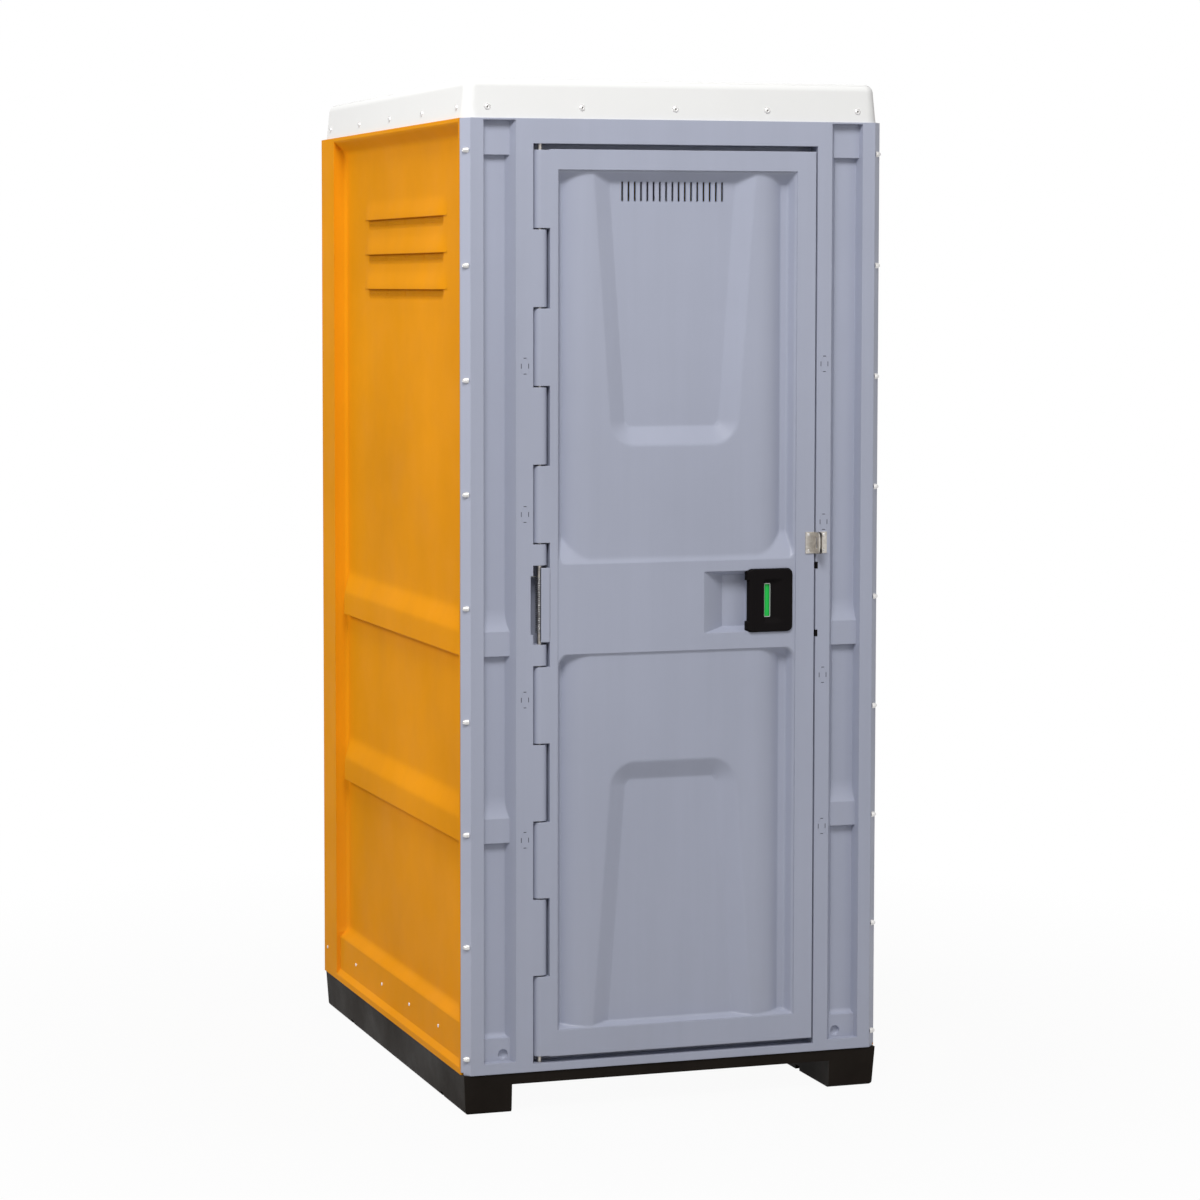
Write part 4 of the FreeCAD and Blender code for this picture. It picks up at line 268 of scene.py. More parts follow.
@dataclass(frozen=True)
class Moulded(Finish):
    """Moulded plastic: drifting colour, flow streaks, soft waves, fine grain, and worn edges with
    painted highlight.
    """

    name: str
    colour: Colour
    # The edge colour: lighter for wear, and also a painted highlight along the rounded edges.
    rubbed_and_highlit: Colour
    drift: float = 0.05
    roughness: float = 0.42
    gloss_drift: float = 0.07
    wave: float = 0.0016
    grain: float = 0.00012
    edge: float = 0.0025
    # How far the edges go to that colour, for wear and for painted highlight.
    wear_and_highlight: float = 0.30
    dust: float = 0.08
    gloss: float = 0.35
    streaks: float = 0.38
    dirt: Colour = (0.30, 0.27, 0.23)
    dirt_top: float = 0.62
    dirt_full: float = 0.05

    def draw(self, graph: Graph, place: Socket, shader: bpy.types.Node) -> None:
        """Draws the plastic.

        Args:
            graph: the material's drawing.
            place: the object's coordinates.
            shader: the surface's shader.
        """
        cloud = graph.noise(place, 1.9, 5.0, 0.55)
        stretched = graph.one("ShaderNodeMapping", {"Vector": place, "Scale": (21.0, 21.0, 1.1)})
        streak = graph.noise(stretched, 1.0, 4.0, 0.6)
        tone = graph.math(
            "ADD", graph.math("MULTIPLY", cloud, 1 - self.streaks),
            graph.math("MULTIPLY", streak, self.streaks),
        )
        tone = graph.ramp(tone, 0.3, 0.7, 0.0, 1.0)
        body = graph.blend(
            tone, shaded(self.colour, 1 - self.drift), shaded(self.colour, 1 + self.drift)
        )

        soft = face = graph.add("ShaderNodeNewGeometry").outputs["Normal"]
        if self.edge > 0:
            soft = graph.one("ShaderNodeBevel", {"Radius": self.edge}, samples=4)
            facing = graph.add(
                "ShaderNodeVectorMath", {"operation": "DOT_PRODUCT"}, {0: soft, 1: face}
            ).outputs["Value"]
            # Edges lighten towards the edge colour: partly rubbed wear, partly painted highlight.
            worn_and_highlit = graph.ramp(facing, 0.995, 0.80, 0.0, self.wear_and_highlight)
            patches = graph.ramp(graph.noise(place, 38.0, 3.0), 0.32, 0.62, 0.2, 1.0)
            body = graph.blend(graph.math("MULTIPLY", worn_and_highlit, patches), body, self.rubbed_and_highlit)

        shader.inputs["Specular IOR Level"].default_value = self.gloss
        height = graph.add("ShaderNodeSeparateXYZ", {}, {0: place}).outputs["Z"]
        low = graph.ramp(height, self.dirt_top, self.dirt_full, 0.0, self.dust)
        splashes = graph.ramp(graph.noise(place, 7.0, 6.0, 0.65), 0.35, 0.7, 0.1, 1.0)
        body = graph.blend(graph.math("MULTIPLY", low, splashes), body, self.dirt)
        specks = graph.ramp(graph.noise(place, 210.0, 2.0), 0.75, 0.80, 0.0, 0.15)
        body = graph.blend(specks, body, shaded(self.colour, 0.55))
        graph.join(body, shader.inputs["Base Color"])

        patchy = graph.noise(place, 5.5, 6.0, 0.6)
        rough = (self.roughness - self.gloss_drift, self.roughness + self.gloss_drift)
        graph.join(graph.ramp(patchy, 0.3, 0.7, *rough), shader.inputs["Roughness"])
        normal = graph.bump(graph.noise(place, 3.6, 2.0, 0.4), self.wave * 10, 0.22, soft)
        normal = graph.bump(graph.noise(place, 620.0, 2.0), self.grain, 0.55, normal)
        graph.join(normal, shader.inputs["Normal"])


@dataclass(frozen=True)
class Metal(Finish):
    """Plated or bare metal with fine scratches, dull spots and a soft edge."""

    name: str
    colour: Colour
    dull: Colour
    roughness: float = 0.32
    scratch: float = 0.00005
    edge: float = 0.0006

    def draw(self, graph: Graph, place: Socket, shader: bpy.types.Node) -> None:
        """Draws the metal.

        Args:
            graph: the material's drawing.
            place: the object's coordinates.
            shader: the surface's shader.
        """
        spots = graph.ramp(graph.noise(place, 95.0, 5.0, 0.65), 0.42, 0.68, 0.0, 1.0)
        graph.join(graph.blend(spots, self.colour, self.dull), shader.inputs["Base Color"])
        shader.inputs["Metallic"].default_value = 0.9
        rough = graph.ramp(spots, 0.0, 1.0, self.roughness, self.roughness + 0.16)
        graph.join(rough, shader.inputs["Roughness"])
        brushed = graph.one("ShaderNodeMapping", {"Vector": place, "Scale": (900.0, 900.0, 60.0)})
        soft = graph.one("ShaderNodeBevel", {"Radius": self.edge}, samples=4)
        normal = graph.bump(graph.noise(brushed, 1.0, 3.0), self.scratch, 0.4, soft)
        graph.join(normal, shader.inputs["Normal"])


@dataclass(frozen=True)
class Tissue(Finish):
    """Soft paper with wound layers and small fibres."""

    name: str
    colour: Colour
    shade: Colour

    def draw(self, graph: Graph, place: Socket, shader: bpy.types.Node) -> None:
        """Draws the paper.

        Args:
            graph: the material's drawing.
            place: the object's coordinates.
            shader: the surface's shader.
        """
        fibre = graph.noise(place, 420.0, 4.0, 0.7)
        body = graph.blend(graph.ramp(fibre, 0.3, 0.7, 0.0, 0.6), self.colour, self.shade)
        graph.join(body, shader.inputs["Base Color"])
        graph.join(graph.ramp(fibre, 0.0, 1.0, 0.82, 0.95), shader.inputs["Roughness"])
        dots = graph.one("ShaderNodeTexVoronoi", {"Vector": place, "Scale": 260.0})
        graph.join(graph.bump(dots, 0.0004, 0.5, None), shader.inputs["Normal"])


GREY = Moulded("cabin_grey", (0.398, 0.422, 0.522), (0.56, 0.585, 0.67))
ORANGE = Moulded(
    "cabin_orange", (0.800, 0.308, 0.008), (0.86, 0.38, 0.03),
    drift=0.10, gloss_drift=0.08, wave=0.0030, wear_and_highlight=0.25, dust=0.06, gloss=0.004,
    streaks=0.06,
)
WHITE = Moulded(
    "cabin_white", (0.830, 0.830, 0.820), (0.88, 0.88, 0.88),
    drift=0.02, roughness=0.45, dust=0.0, edge=0.0, wave=0.0004, grain=0.00004, gloss=0.0,
    streaks=0.1,
)
BASE_BLACK = Moulded(
    "skid_black", (0.013, 0.010, 0.008), (0.075, 0.065, 0.055),
    drift=0.25, roughness=0.55, gloss_drift=0.1, wear_and_highlight=0.25, dust=0.02, grain=0.0003, gloss=0.04,
)
FLOOR_GREY = Moulded(
    "pan_grey", (0.100, 0.100, 0.110), (0.20, 0.20, 0.21), drift=0.12, dust=0.30, grain=0.0003,
)
LOCK_BLACK = Moulded(
    "grip_black", (0.0092, 0.0078, 0.0082), (0.05, 0.05, 0.052),
    drift=0.15, roughness=0.26, edge=0.0010, wear_and_highlight=0.35, dust=0.0, wave=0.0, gloss=0.02,
)
TANK_GREY = Moulded("vessel_grey", (0.120, 0.130, 0.140), (0.24, 0.25, 0.26), drift=0.08, dust=0.2)
SEAT_BLACK = Moulded(
    "board_black", (0.010, 0.010, 0.010), (0.05, 0.05, 0.05), roughness=0.28, dust=0.0, wave=0.0,
)
PIPE_GREY = Moulded("tube_grey", (0.300, 0.310, 0.320), (0.42, 0.43, 0.44), dust=0.1, edge=0.001)
SIGN_GREEN, SIGN_RED, WINDOW_PALE, SCORE_SHADE, EMBOSS_GREY = (
    Moulded(name, colour, rubbed_and_highlit, dust=0.0, wave=0.0, edge=edge)
    for name, colour, rubbed_and_highlit, edge in (
        ("sign_green", (0.010, 0.560, 0.075), (0.15, 0.70, 0.25), 0.0005),
        ("sign_red", (0.560, 0.012, 0.010), (0.70, 0.10, 0.08), 0.0005),
        ("window_pale", (0.480, 0.560, 0.510), (0.80, 0.82, 0.80), 0.0003),
        # Painted shade of the knock-outs' scored slits.
        ("score_grey", (0.060, 0.064, 0.085), (0.12, 0.13, 0.15), 0.0002),
        ("emboss_grey", (0.430, 0.452, 0.545), (0.56, 0.585, 0.67), 0.0003),
    )
)
ZINC = Metal("zinc_plate", (0.54, 0.51, 0.47), (0.38, 0.35, 0.31))
COIL_STEEL = Metal("coil_steel", (0.30, 0.30, 0.31), (0.12, 0.12, 0.13), roughness=0.28)
ALUMINIUM = Metal("rivet_aluminium", (0.74, 0.73, 0.72), (0.55, 0.54, 0.53), roughness=0.36)
# The mandrel's steel, made darker than steel to paint the shade in the rivet's hole.
CORE_STEEL_AND_SHADE = Metal("rivet_core", (0.16, 0.15, 0.14), (0.08, 0.075, 0.07), roughness=0.5)
PAPER = Tissue("soft_paper", (0.84, 0.84, 0.82), (0.70, 0.70, 0.68))

NODE_FINISHES: dict[Finish, tuple[str, ...]] = {
    BASE_BLACK: ("base_pallet",),
    FLOOR_GREY: ("floor_pan",),
    ORANGE: ("rear_wall",),
    GREY: ("front_frame",),
    ZINC: ("hinge_rod", "door_hasp", "frame_hasp", "seat_hinge_pin"),
    LOCK_BLACK: ("lock_case", "lock_bolt", "door_pull", "strike_plate", "paper_holder", "coat_hook"),
    SIGN_GREEN: ("indicator_green",),
    SIGN_RED: ("indicator_red",),
    TANK_GREY: ("waste_tank", "urinal"),
    PIPE_GREY: ("vent_pipe",),
}


def shown(name: str, mesh: Mesh, body: Body, nodes: Sequence[str] = ()) -> None:
    """Puts one finished mesh into the scene as a piece.

    Args:
        name: the piece's name.
        mesh: its mesh, in the cabin's frame.
        body: the body that it rides on.
        nodes: the solids that it stands for.
    """
    mesh.name = name
    obj = bpy.data.objects.new(name, mesh)
    bpy.context.scene.collection.objects.link(obj)
    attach(obj, body.value)
    if nodes:
        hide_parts(*nodes)
    LOG.info("%s: %d faces on %s", name, len(mesh.polygons), body.value)


def baked(mesh: Mesh, kind: str, prepare: Callable[[bpy.types.Modifier], None]) -> Mesh:
    """Runs one modifier over a mesh.

    Args:
        mesh: the mesh, which is used up.
        kind: the modifier's kind.
        prepare: sets the modifier up.

    Returns:
        The result as a plain mesh.
    """
    host = bpy.data.objects.new("host", mesh)
    bpy.context.scene.collection.objects.link(host)
    modifier = host.modifiers.new("baked", kind)
    prepare(modifier)
    graph = bpy.context.evaluated_depsgraph_get()
    made = bpy.data.meshes.new_from_object(host.evaluated_get(graph), depsgraph=graph)
    host.modifiers.remove(modifier)
    bpy.data.objects.remove(host)
    bpy.data.meshes.remove(mesh)
    return made


def seeds(points: Iterable[Point], traits: dict[str, Sequence[Point]]) -> Mesh:
    """A mesh of bare points that a tree grows its copies on.

    Args:
        points: where the copies go.
        traits: named vectors for each point.

    Returns:
        The mesh.
    """
    mesh = bpy.data.meshes.new("seeds")
    mesh.from_pydata(list(points), [], [])
    for name, values in traits.items():
        layer = mesh.attributes.new(name, "FLOAT_VECTOR", "POINT")
        for n, value in enumerate(values):
            layer.data[n].vector = value
    return mesh


def route(points: Sequence[Point], closed: bool = False) -> Mesh:
    """A mesh of edges along a run of points, for a tube to follow.

    Args:
        points: the run's points.
        closed: whether it ends where it starts.

    Returns:
        The mesh.
    """
    edges = [(n, n + 1) for n in range(len(points) - 1)]
    if closed:
        edges.append((len(points) - 1, 0))
    mesh = bpy.data.meshes.new("route")
    mesh.from_pydata(list(points), edges, [])
    return mesh


class Grower:
    """A Geometry Nodes tree with named inputs, run over a base mesh."""

    def __init__(self, name: str, sizes: dict[str, float]) -> None:
        """Starts the tree.

        Args:
            name: the tree's name.
            sizes: its named inputs and their usual values.
        """
        self.tree = bpy.data.node_groups.new(name, "GeometryNodeTree")
        self.graph = Graph(self.tree)
        face = self.tree.interface
        face.new_socket("Base", in_out="INPUT", socket_type="NodeSocketGeometry")
        for label, value in sizes.items():
            socket = face.new_socket(label, in_out="INPUT", socket_type="NodeSocketFloat")
            socket.default_value = value
        face.new_socket("Grown", in_out="OUTPUT", socket_type="NodeSocketGeometry")
        self.source = self.graph.add("NodeGroupInput")
        self.build()

    def build(self) -> None:
        """Draws the nodes, for the trees to fill in."""
        raise NotImplementedError

    def size(self, label: str) -> Socket:
        """The socket of a named input."""
        return self.source.outputs[label]

    def trait(self, name: str, kind: str = "FLOAT_VECTOR") -> Socket:
        """The socket of a named trait of the points."""
        node = self.graph.add("GeometryNodeInputNamedAttribute", {"data_type": kind}, {"Name": name})
        return node.outputs["Attribute"]

    def copies(self, shape: Socket, turn: Socket, size: Socket) -> Socket:
        """Sets a copy of a shape on each point of the base.

        Args:
            shape: what is copied.
            turn: each copy's rotation.
            size: its scale.

        Returns:
            The copies' socket.
        """
        return self.graph.one("GeometryNodeInstanceOnPoints", {
            "Points": self.size("Base"), "Instance": shape, "Rotation": turn, "Scale": size,
        })

    def end(self, geometry: Socket, finish: Finish, smooth: bool = True) -> Socket:
        """Makes the copies real and gives them their finish.

        Args:
            geometry: what has been grown.
            finish: its finish.
            smooth: whether it shades smooth.

        Returns:
            The finished geometry's socket.
        """
        real = self.graph.one("GeometryNodeRealizeInstances", {0: geometry})
        shade = self.graph.one(
            "GeometryNodeSetShadeSmooth", {"Geometry": real, "Shade Smooth": smooth}
        )
        return self.graph.one(
            "GeometryNodeSetMaterial", {"Geometry": shade, "Material": finish.material()}
        )

    def out(self, geometry: Socket) -> None:
        """Joins the last geometry to the tree's output."""
        self.graph.add("NodeGroupOutput", {}, {0: geometry})

    def grow(self, base: Mesh, **sizes: float) -> Mesh:
        """Runs the tree over a base mesh.

        Args:
            base: the mesh that it starts from.
            sizes: values for its named inputs, with _ for a blank.

        Returns:
            The grown shape as a plain mesh.
        """
        wanted = {key.replace("_", " "): value for key, value in sizes.items()}

        def prepare(modifier: bpy.types.Modifier) -> None:
            """Gives the modifier its tree and sets the inputs by their identifiers.

            Args:
                modifier: the modifier.
            """
            modifier.node_group = self.tree
            for item in self.tree.interface.items_tree:
                if item.item_type == "SOCKET" and item.in_out == "INPUT" and item.name in wanted:
                    modifier[item.identifier] = wanted[item.name]

        return baked(base, "NODES", prepare)


class RivetHeads(Grower):
    """Domed blind rivet heads with a set-in core, dark as steel and with painted shade for its hole,
    one on each point.
    """

    def __init__(self) -> None:
        """Names the tree and its sizes."""
        super().__init__("rivet_heads", {"Core share": 0.36, "Core depth": 0.5})

    def build(self) -> None:
        """Shapes one head from a sphere and sets it on the points, facing their way out."""
        g = self.graph
        less = {"data_type": "FLOAT", "operation": "LESS_THAN"}
        ball = g.one("GeometryNodeMeshUVSphere", {"Segments": 20, "Rings": 22, "Radius": 1.0})
        parts = g.add("ShaderNodeSeparateXYZ", {}, {0: g.one("GeometryNodeInputPosition", {})})
        below = g.one("FunctionNodeCompare", {0: parts.outputs["Z"], 1: -0.01}, **less)
        dome = g.one("GeometryNodeDeleteGeometry", {0: ball, 1: below}, domain="POINT")
        flat = g.one("ShaderNodeCombineXYZ", {0: parts.outputs["X"], 1: parts.outputs["Y"]})
        radial = g.add("ShaderNodeVectorMath", {"operation": "LENGTH"}, {0: flat}).outputs["Value"]
        near = g.one("FunctionNodeCompare", {0: radial, 1: self.size("Core share")}, **less)
        marked = g.one(
            "GeometryNodeStoreNamedAttribute", {"Geometry": dome, "Name": "core", "Value": near},
            data_type="BOOLEAN", domain="FACE",
        )
        sunk = g.one("ShaderNodeMath", {0: self.size("Core depth"), 1: -1.0}, operation="MULTIPLY")
        drop = g.one("GeometryNodeSwitch", {0: near, 1: 0.0, 2: sunk}, input_type="FLOAT")
        offset = g.one("ShaderNodeCombineXYZ", {2: drop})
        head = g.one("GeometryNodeSetPosition", {"Geometry": marked, "Offset": offset})
        turn = g.one("FunctionNodeAlignRotationToVector", {"Vector": self.trait("out")}, axis="Z")
        done = self.end(self.copies(head, turn, self.trait("size")), ALUMINIUM)
        # The core takes the dark finish: the mandrel's steel with painted shade for its hole.
        self.out(g.one("GeometryNodeSetMaterial", {
            "Geometry": done, "Selection": self.trait("core", "BOOLEAN"),
            "Material": CORE_STEEL_AND_SHADE.material(),
        }))


class Tube(Grower):
    """A round tube along a run of edges."""

    def __init__(self, name: str, finish: Finish, sides: int) -> None:
        """Names the tree, its finish and its sides.

        Args:
            name: the tree's name.
            finish: the tube's finish.
            sides: how many sides its section has.
        """
        self.finish = finish
        self.sides = sides
        super().__init__(name, {"Tube radius": 0.001})

    def build(self) -> None:
        """Sweeps a circle along the edges and closes its ends."""
        g = self.graph
        line = g.one("GeometryNodeMeshToCurve", {"Mesh": self.size("Base")})
        section = g.one(
            "GeometryNodeCurvePrimitiveCircle",
            {"Resolution": self.sides, "Radius": self.size("Tube radius")},
        )
        swept = g.one(
            "GeometryNodeCurveToMesh", {"Curve": line, "Profile Curve": section, "Fill Caps": True}
        )
        self.out(self.end(swept, self.finish))


class Blocks(Grower):
    """Small bars of their own size and turn, one on each point."""

    def __init__(self, name: str, finish: Finish) -> None:
        """Names the tree and its finish.

        Args:
            name: the tree's name.
            finish: the bars' finish.
        """
        self.finish = finish
        super().__init__(name, {"Bar scale": 1.0})

    def build(self) -> None:
        """Sets a six-sided bar on each point."""
        g = self.graph
        bar = g.one("GeometryNodeMeshCylinder", {"Vertices": 6, "Radius": 0.5, "Depth": 1.0})
        turn = g.one("FunctionNodeEulerToRotation", {0: self.trait("turn")})
        scale = g.one(
            "ShaderNodeVectorMath", {0: self.trait("size"), "Scale": self.size("Bar scale")},
            operation="SCALE",
        )
        self.out(self.end(self.copies(bar, turn, scale), self.finish, smooth=False))


def copied(node: str) -> Work:
    """A copy of a solid's mesh with its doubled points merged.

    Args:
        node: the solid's name.

    Returns:
        The copy, open for work.
    """
    work = bmesh.new()
    work.from_mesh(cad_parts[node].data)
    bmesh.ops.remove_doubles(work, verts=work.verts, dist=MERGE)
    return work


def creased(work: Work, crease: float, lone: float = LONE_EDGE) -> None:
    """Shades faces smooth and marks the sharp edges between them.

    Args:
        work: the faces.
        crease: the angle over which an edge stays sharp, or 0 for flat faces.
        lone: the angle that an edge with a single face counts as.
    """
    for face in work.faces:
        face.smooth = crease > 0
    for edge in work.edges:
        edge.smooth = edge.calc_face_angle(lone) < crease


def meshed(work: Work, name: str) -> Mesh:
    """Turns worked faces into a plain mesh.

    Args:
        work: the faces, which are used up.
        name: the mesh's name.

    Returns:
        The mesh.
    """
    mesh = bpy.data.meshes.new(name)
    work.to_mesh(mesh)
    work.free()
    return mesh


def islands(node: str) -> list[tuple[Vector, Vector]]:
    """The lowest and highest corners of each separate solid in a node.

    Args:
        node: the node's name.

    Returns:
        One pair of corners for each solid.
    """
    work = copied(node)
    seen: set[bmesh.types.BMVert] = set()
    found = []
    for first in work.verts:
        if first in seen:
            continue
        seen.add(first)
        crowd, rest = [first], [first]
        while rest:
            for edge in rest.pop().link_edges:
                for vert in edge.verts:
                    if vert not in seen:
                        seen.add(vert)
                        crowd.append(vert)
                        rest.append(vert)
        low = Vector(min(v.co[k] for v in crowd) for k in range(3))
        high = Vector(max(v.co[k] for v in crowd) for k in range(3))
        found.append((low, high))
    work.free()
    return found


def trimmed(node: str, unwanted: Callable[[WorkFace], bool]) -> Mesh:
    """A merged copy of a solid's mesh without some of its faces.

    Args:
        node: the solid's name.
        unwanted: says which faces are left out.

    Returns:
        The copy, with no finish on it.
    """
    work = copied(node)
    work.normal_update()
    gone = [face for face in work.faces if unwanted(face)]
    bmesh.ops.delete(work, geom=gone, context="FACES")
    for face in work.faces:
        face.material_index = 0
    creased(work, 0.0)
    return meshed(work, node)


def soft_least(first: float, second: float, blend: float) -> float:
    """The lesser of two numbers, rounded where they meet."""
    share = max(0.0, blend - abs(first - second)) / blend
    return min(first, second) - share * share * blend / 4


def soft_most(first: float, second: float, blend: float) -> float:
    """The greater of two numbers, rounded where they meet."""
    return -soft_least(-first, -second, blend)


def rounded_inset(one: float, other: float, radius: float) -> float:
    """How far inside two edges a point lies, with the corner between them rounded.

    Args:
        one: how far inside the first edge it lies.
        other: how far inside the second.
        radius: the corner's radius.

    Returns:
        The distance, which is less than nought outside.
    """
    if one >= radius or other >= radius:
        return min(one, other)
    return radius - math.hypot(radius - one, radius - other)


def round_outline(
    middle: tuple[float, float], half: tuple[float, float], radius: float, y: float, steps: int
) -> list[Point]:
    """An upright rectangle with rounded corners, drawn on a plane of one depth.

    Args:
        middle: its middle's X and Z.
        half: its half width and half height.
        radius: the corners' radius.
        y: the plane's place.
        steps: how many lines each corner has.

    Returns:
        Its points, from the right side up and round.
    """
    points = []
    for k, ways in enumerate(((1, 1), (-1, 1), (-1, -1), (1, -1))):
        x, z = (spot + way * (size - radius) for spot, way, size in zip(middle, ways, half))
        for n in range(steps + 1):
            angle = QUARTER_TURN * (k + n / steps)
            points.append((x + radius * math.cos(angle), y, z + radius * math.sin(angle)))
    return points


def even_lines(start: float, end: float, step: float, fixed: Sequence[float]) -> list[float]:
    """Nearly even grid lines that also run through some fixed places.

    Args:
        start: the first line.
        end: the last one.
        step: about how far apart they are.
        fixed: places that get a line of their own.

    Returns:
        The lines in order.
    """
    stops = sorted({start, end, *fixed})
    lines = []
    for low, high in zip(stops, stops[1:]):
        count = max(1, round((high - low) / step))
        lines += [low + (high - low) * n / count for n in range(count)]
    return lines + [end]


def sheet(
    across: Sequence[float], along: Sequence[float], spot: Callable[[float, float], Point],
    is_open: Callable[[float, float], bool], turned: bool = False, crease: float = 1.0,
) -> Mesh:
    """A fine sheet over a grid, with holes.

    Args:
        across: the grid's lines in its first direction.
        along: its lines in the second.
        spot: gives the point, in millimetres, for a place on the grid.
        is_open: says whether a cell, by its middle, is left out.
        turned: whether it faces the other way.
        crease: the angle over which an edge stays sharp.

    Returns:
        Its mesh.
    """
    verts = [tuple(v / 1000 for v in spot(a, b)) for b in along for a in across]
    wide = len(across)
    faces = []
    for k in range(len(along) - 1):
        for n in range(wide - 1):
            if is_open((across[n] + across[n + 1]) / 2, (along[k] + along[k + 1]) / 2):
                continue
            a = k * wide + n
            corners = (a, a + 1, a + wide + 1, a + wide)
            faces.append(corners[::-1] if turned else corners)
    mesh = bpy.data.meshes.new("sheet")
    mesh.from_pydata(verts, [], faces)
    work = bmesh.new()
    work.from_mesh(mesh)
    bpy.data.meshes.remove(mesh)
    loose = [vert for vert in work.verts if not vert.link_faces]
    bmesh.ops.delete(work, geom=loose, context="VERTS")
    creased(work, crease, 0.0)
    return meshed(work, "sheet")


def evened(mesh: Mesh) -> Mesh:
    """The mesh shaded smooth, with its large faces kept flat.

    Args:
        mesh: a mesh whose sharp edges are marked.

    Returns:
        The shaded copy, in place of the mesh.
    """
    def prepare(modifier: bpy.types.Modifier) -> None:
        """Lets the large faces lead and keeps the marked edges."""
        modifier.weight = 100
        modifier.keep_sharp = True

    return baked(mesh, "WEIGHTED_NORMAL", prepare)


def lathe(profile: Sequence[tuple[float, float]], centre: Point, axis: str, steps: int) -> Mesh:
    """Turns a closed outline of (radius, height) about an axis.

    Args:
        profile: the outline, which may start and end on the axis.
        centre: where its height is 0 on the axis.
        axis: X, Y or Z.
        steps: how many sides a full turn has.

    Returns:
        The turned mesh.
    """
    work = bmesh.new()
    rings = []
    for radius, height in profile:
        ring = []
        for n in range(steps):
            angle = FULL_TURN * n / steps
            a, b = radius * math.cos(angle), radius * math.sin(angle)
            spot = {"X": (height, a, b), "Y": (b, height, a), "Z": (a, b, height)}[axis]
            ring.append(work.verts.new(Vector(spot) + Vector(centre)))
            if radius < 1e-7:
                ring = ring[:1] * steps
                break
        rings.append(ring)
    for near, far in zip(rings, rings[1:] + rings[:1]):
        for n in range(steps):
            m = (n + 1) % steps
            corners = []
            for vert in (near[n], near[m], far[m], far[n]):
                if vert not in corners:
                    corners.append(vert)
            if len(corners) > 2:
                work.faces.new(corners).smooth = True
    bmesh.ops.recalc_face_normals(work, faces=work.faces)
    return meshed(work, "turned")


def merged(meshes: Sequence[Mesh], finish: Finish) -> Mesh:
    """Joins meshes into one and gives it a finish.

    Args:
        meshes: what is joined.
        finish: the finish of all of it.

    Returns:
        The joined mesh.
    """
    work = bmesh.new()
    for mesh in meshes:
        work.from_mesh(mesh)
        bpy.data.meshes.remove(mesh)
    mesh = meshed(work, "merged")
    mesh.materials.append(finish.material())
    return mesh


@dataclass
class Riveting:
    """The visible rivets that hold the shell together, set where the solids have them."""

    core_share: float = 0.31
    core_depth: float = 0.35
    sets: dict[str, Body] = field(default_factory=lambda: {
        "corner_rivets": Body.CABIN, "rear_rivets": Body.CABIN, "roof_rivets": Body.CABIN,
        "base_rivets": Body.CABIN, "frame_hasp_rivets": Body.CABIN, "door_hasp_rivets": Body.DOOR,
    })

    def heads(self, node: str) -> Mesh:
        """Points for one set of rivets, with their way out and size.

        Args:
            node: the node that holds the rivets' solids.

        Returns:
            The points.
        """
        places, ways, sizes = [], [], []
        for low, high in islands(node):
            size = high - low
            thin = min(range(3), key=lambda k: size[k])
            middle = (low + high) / 2
            out = Vector((0, 0, 0))
            out[thin] = 1.0 if middle[thin] > 0 else -1.0
            foot = middle - out * size[thin] / 2
            wide = min(size[k] for k in range(3) if k != thin) / 2
            places.append(tuple(foot))
            ways.append(tuple(out))
            sizes.append((wide, wide, size[thin]))
        return seeds(places, {"out": ways, "size": sizes})

    def build(self) -> None:
        """Grows every set and puts it in place of its solids."""
        tree = RivetHeads()
        for node, body in self.sets.items():
            mesh = tree.grow(self.heads(node), Core_share=self.core_share, Core_depth=self.core_depth)
            shown(f"{node}_domed", mesh, body, [node])


@dataclass
class Closer:
    """The torsion coil that shuts the door, round the hinge rod."""

    axis: tuple[float, float] = (-0.3165, -0.5835)
    low: float = 1.076
    high: float = 1.200
    coil: float = 0.0079
    wire: float = 0.0026
    turns: int = 30
    frame_leg: float = 0.0255
    door_leg: float = 0.0162
    steps: int = 18

    def line(self) -> list[Point]:
        """The wire's middle line, from the frame's leg down to the door's.

        Returns:
            Its points.
        """
        x, y = self.axis
        count = self.turns * self.steps
        points = [(x - self.frame_leg, y + self.coil, self.high)]
        for n in range(count + 1):
            angle = QUARTER_TURN - FULL_TURN * n / self.steps
            drop = (self.high - self.low) * n / count
            points.append((
                x + self.coil * math.cos(angle), y + self.coil * math.sin(angle), self.high - drop,
            ))
        points.append((x + self.door_leg, y + self.coil, self.low))
        return points

    def build(self) -> None:
        """Winds the coil and puts it in place of its plain solid."""
        mesh = Tube("coil_wire", COIL_STEEL, 10).grow(route(self.line()), Tube_radius=self.wire / 2)
        shown("closer_coil", mesh, Body.CABIN, ["closer_spring"])


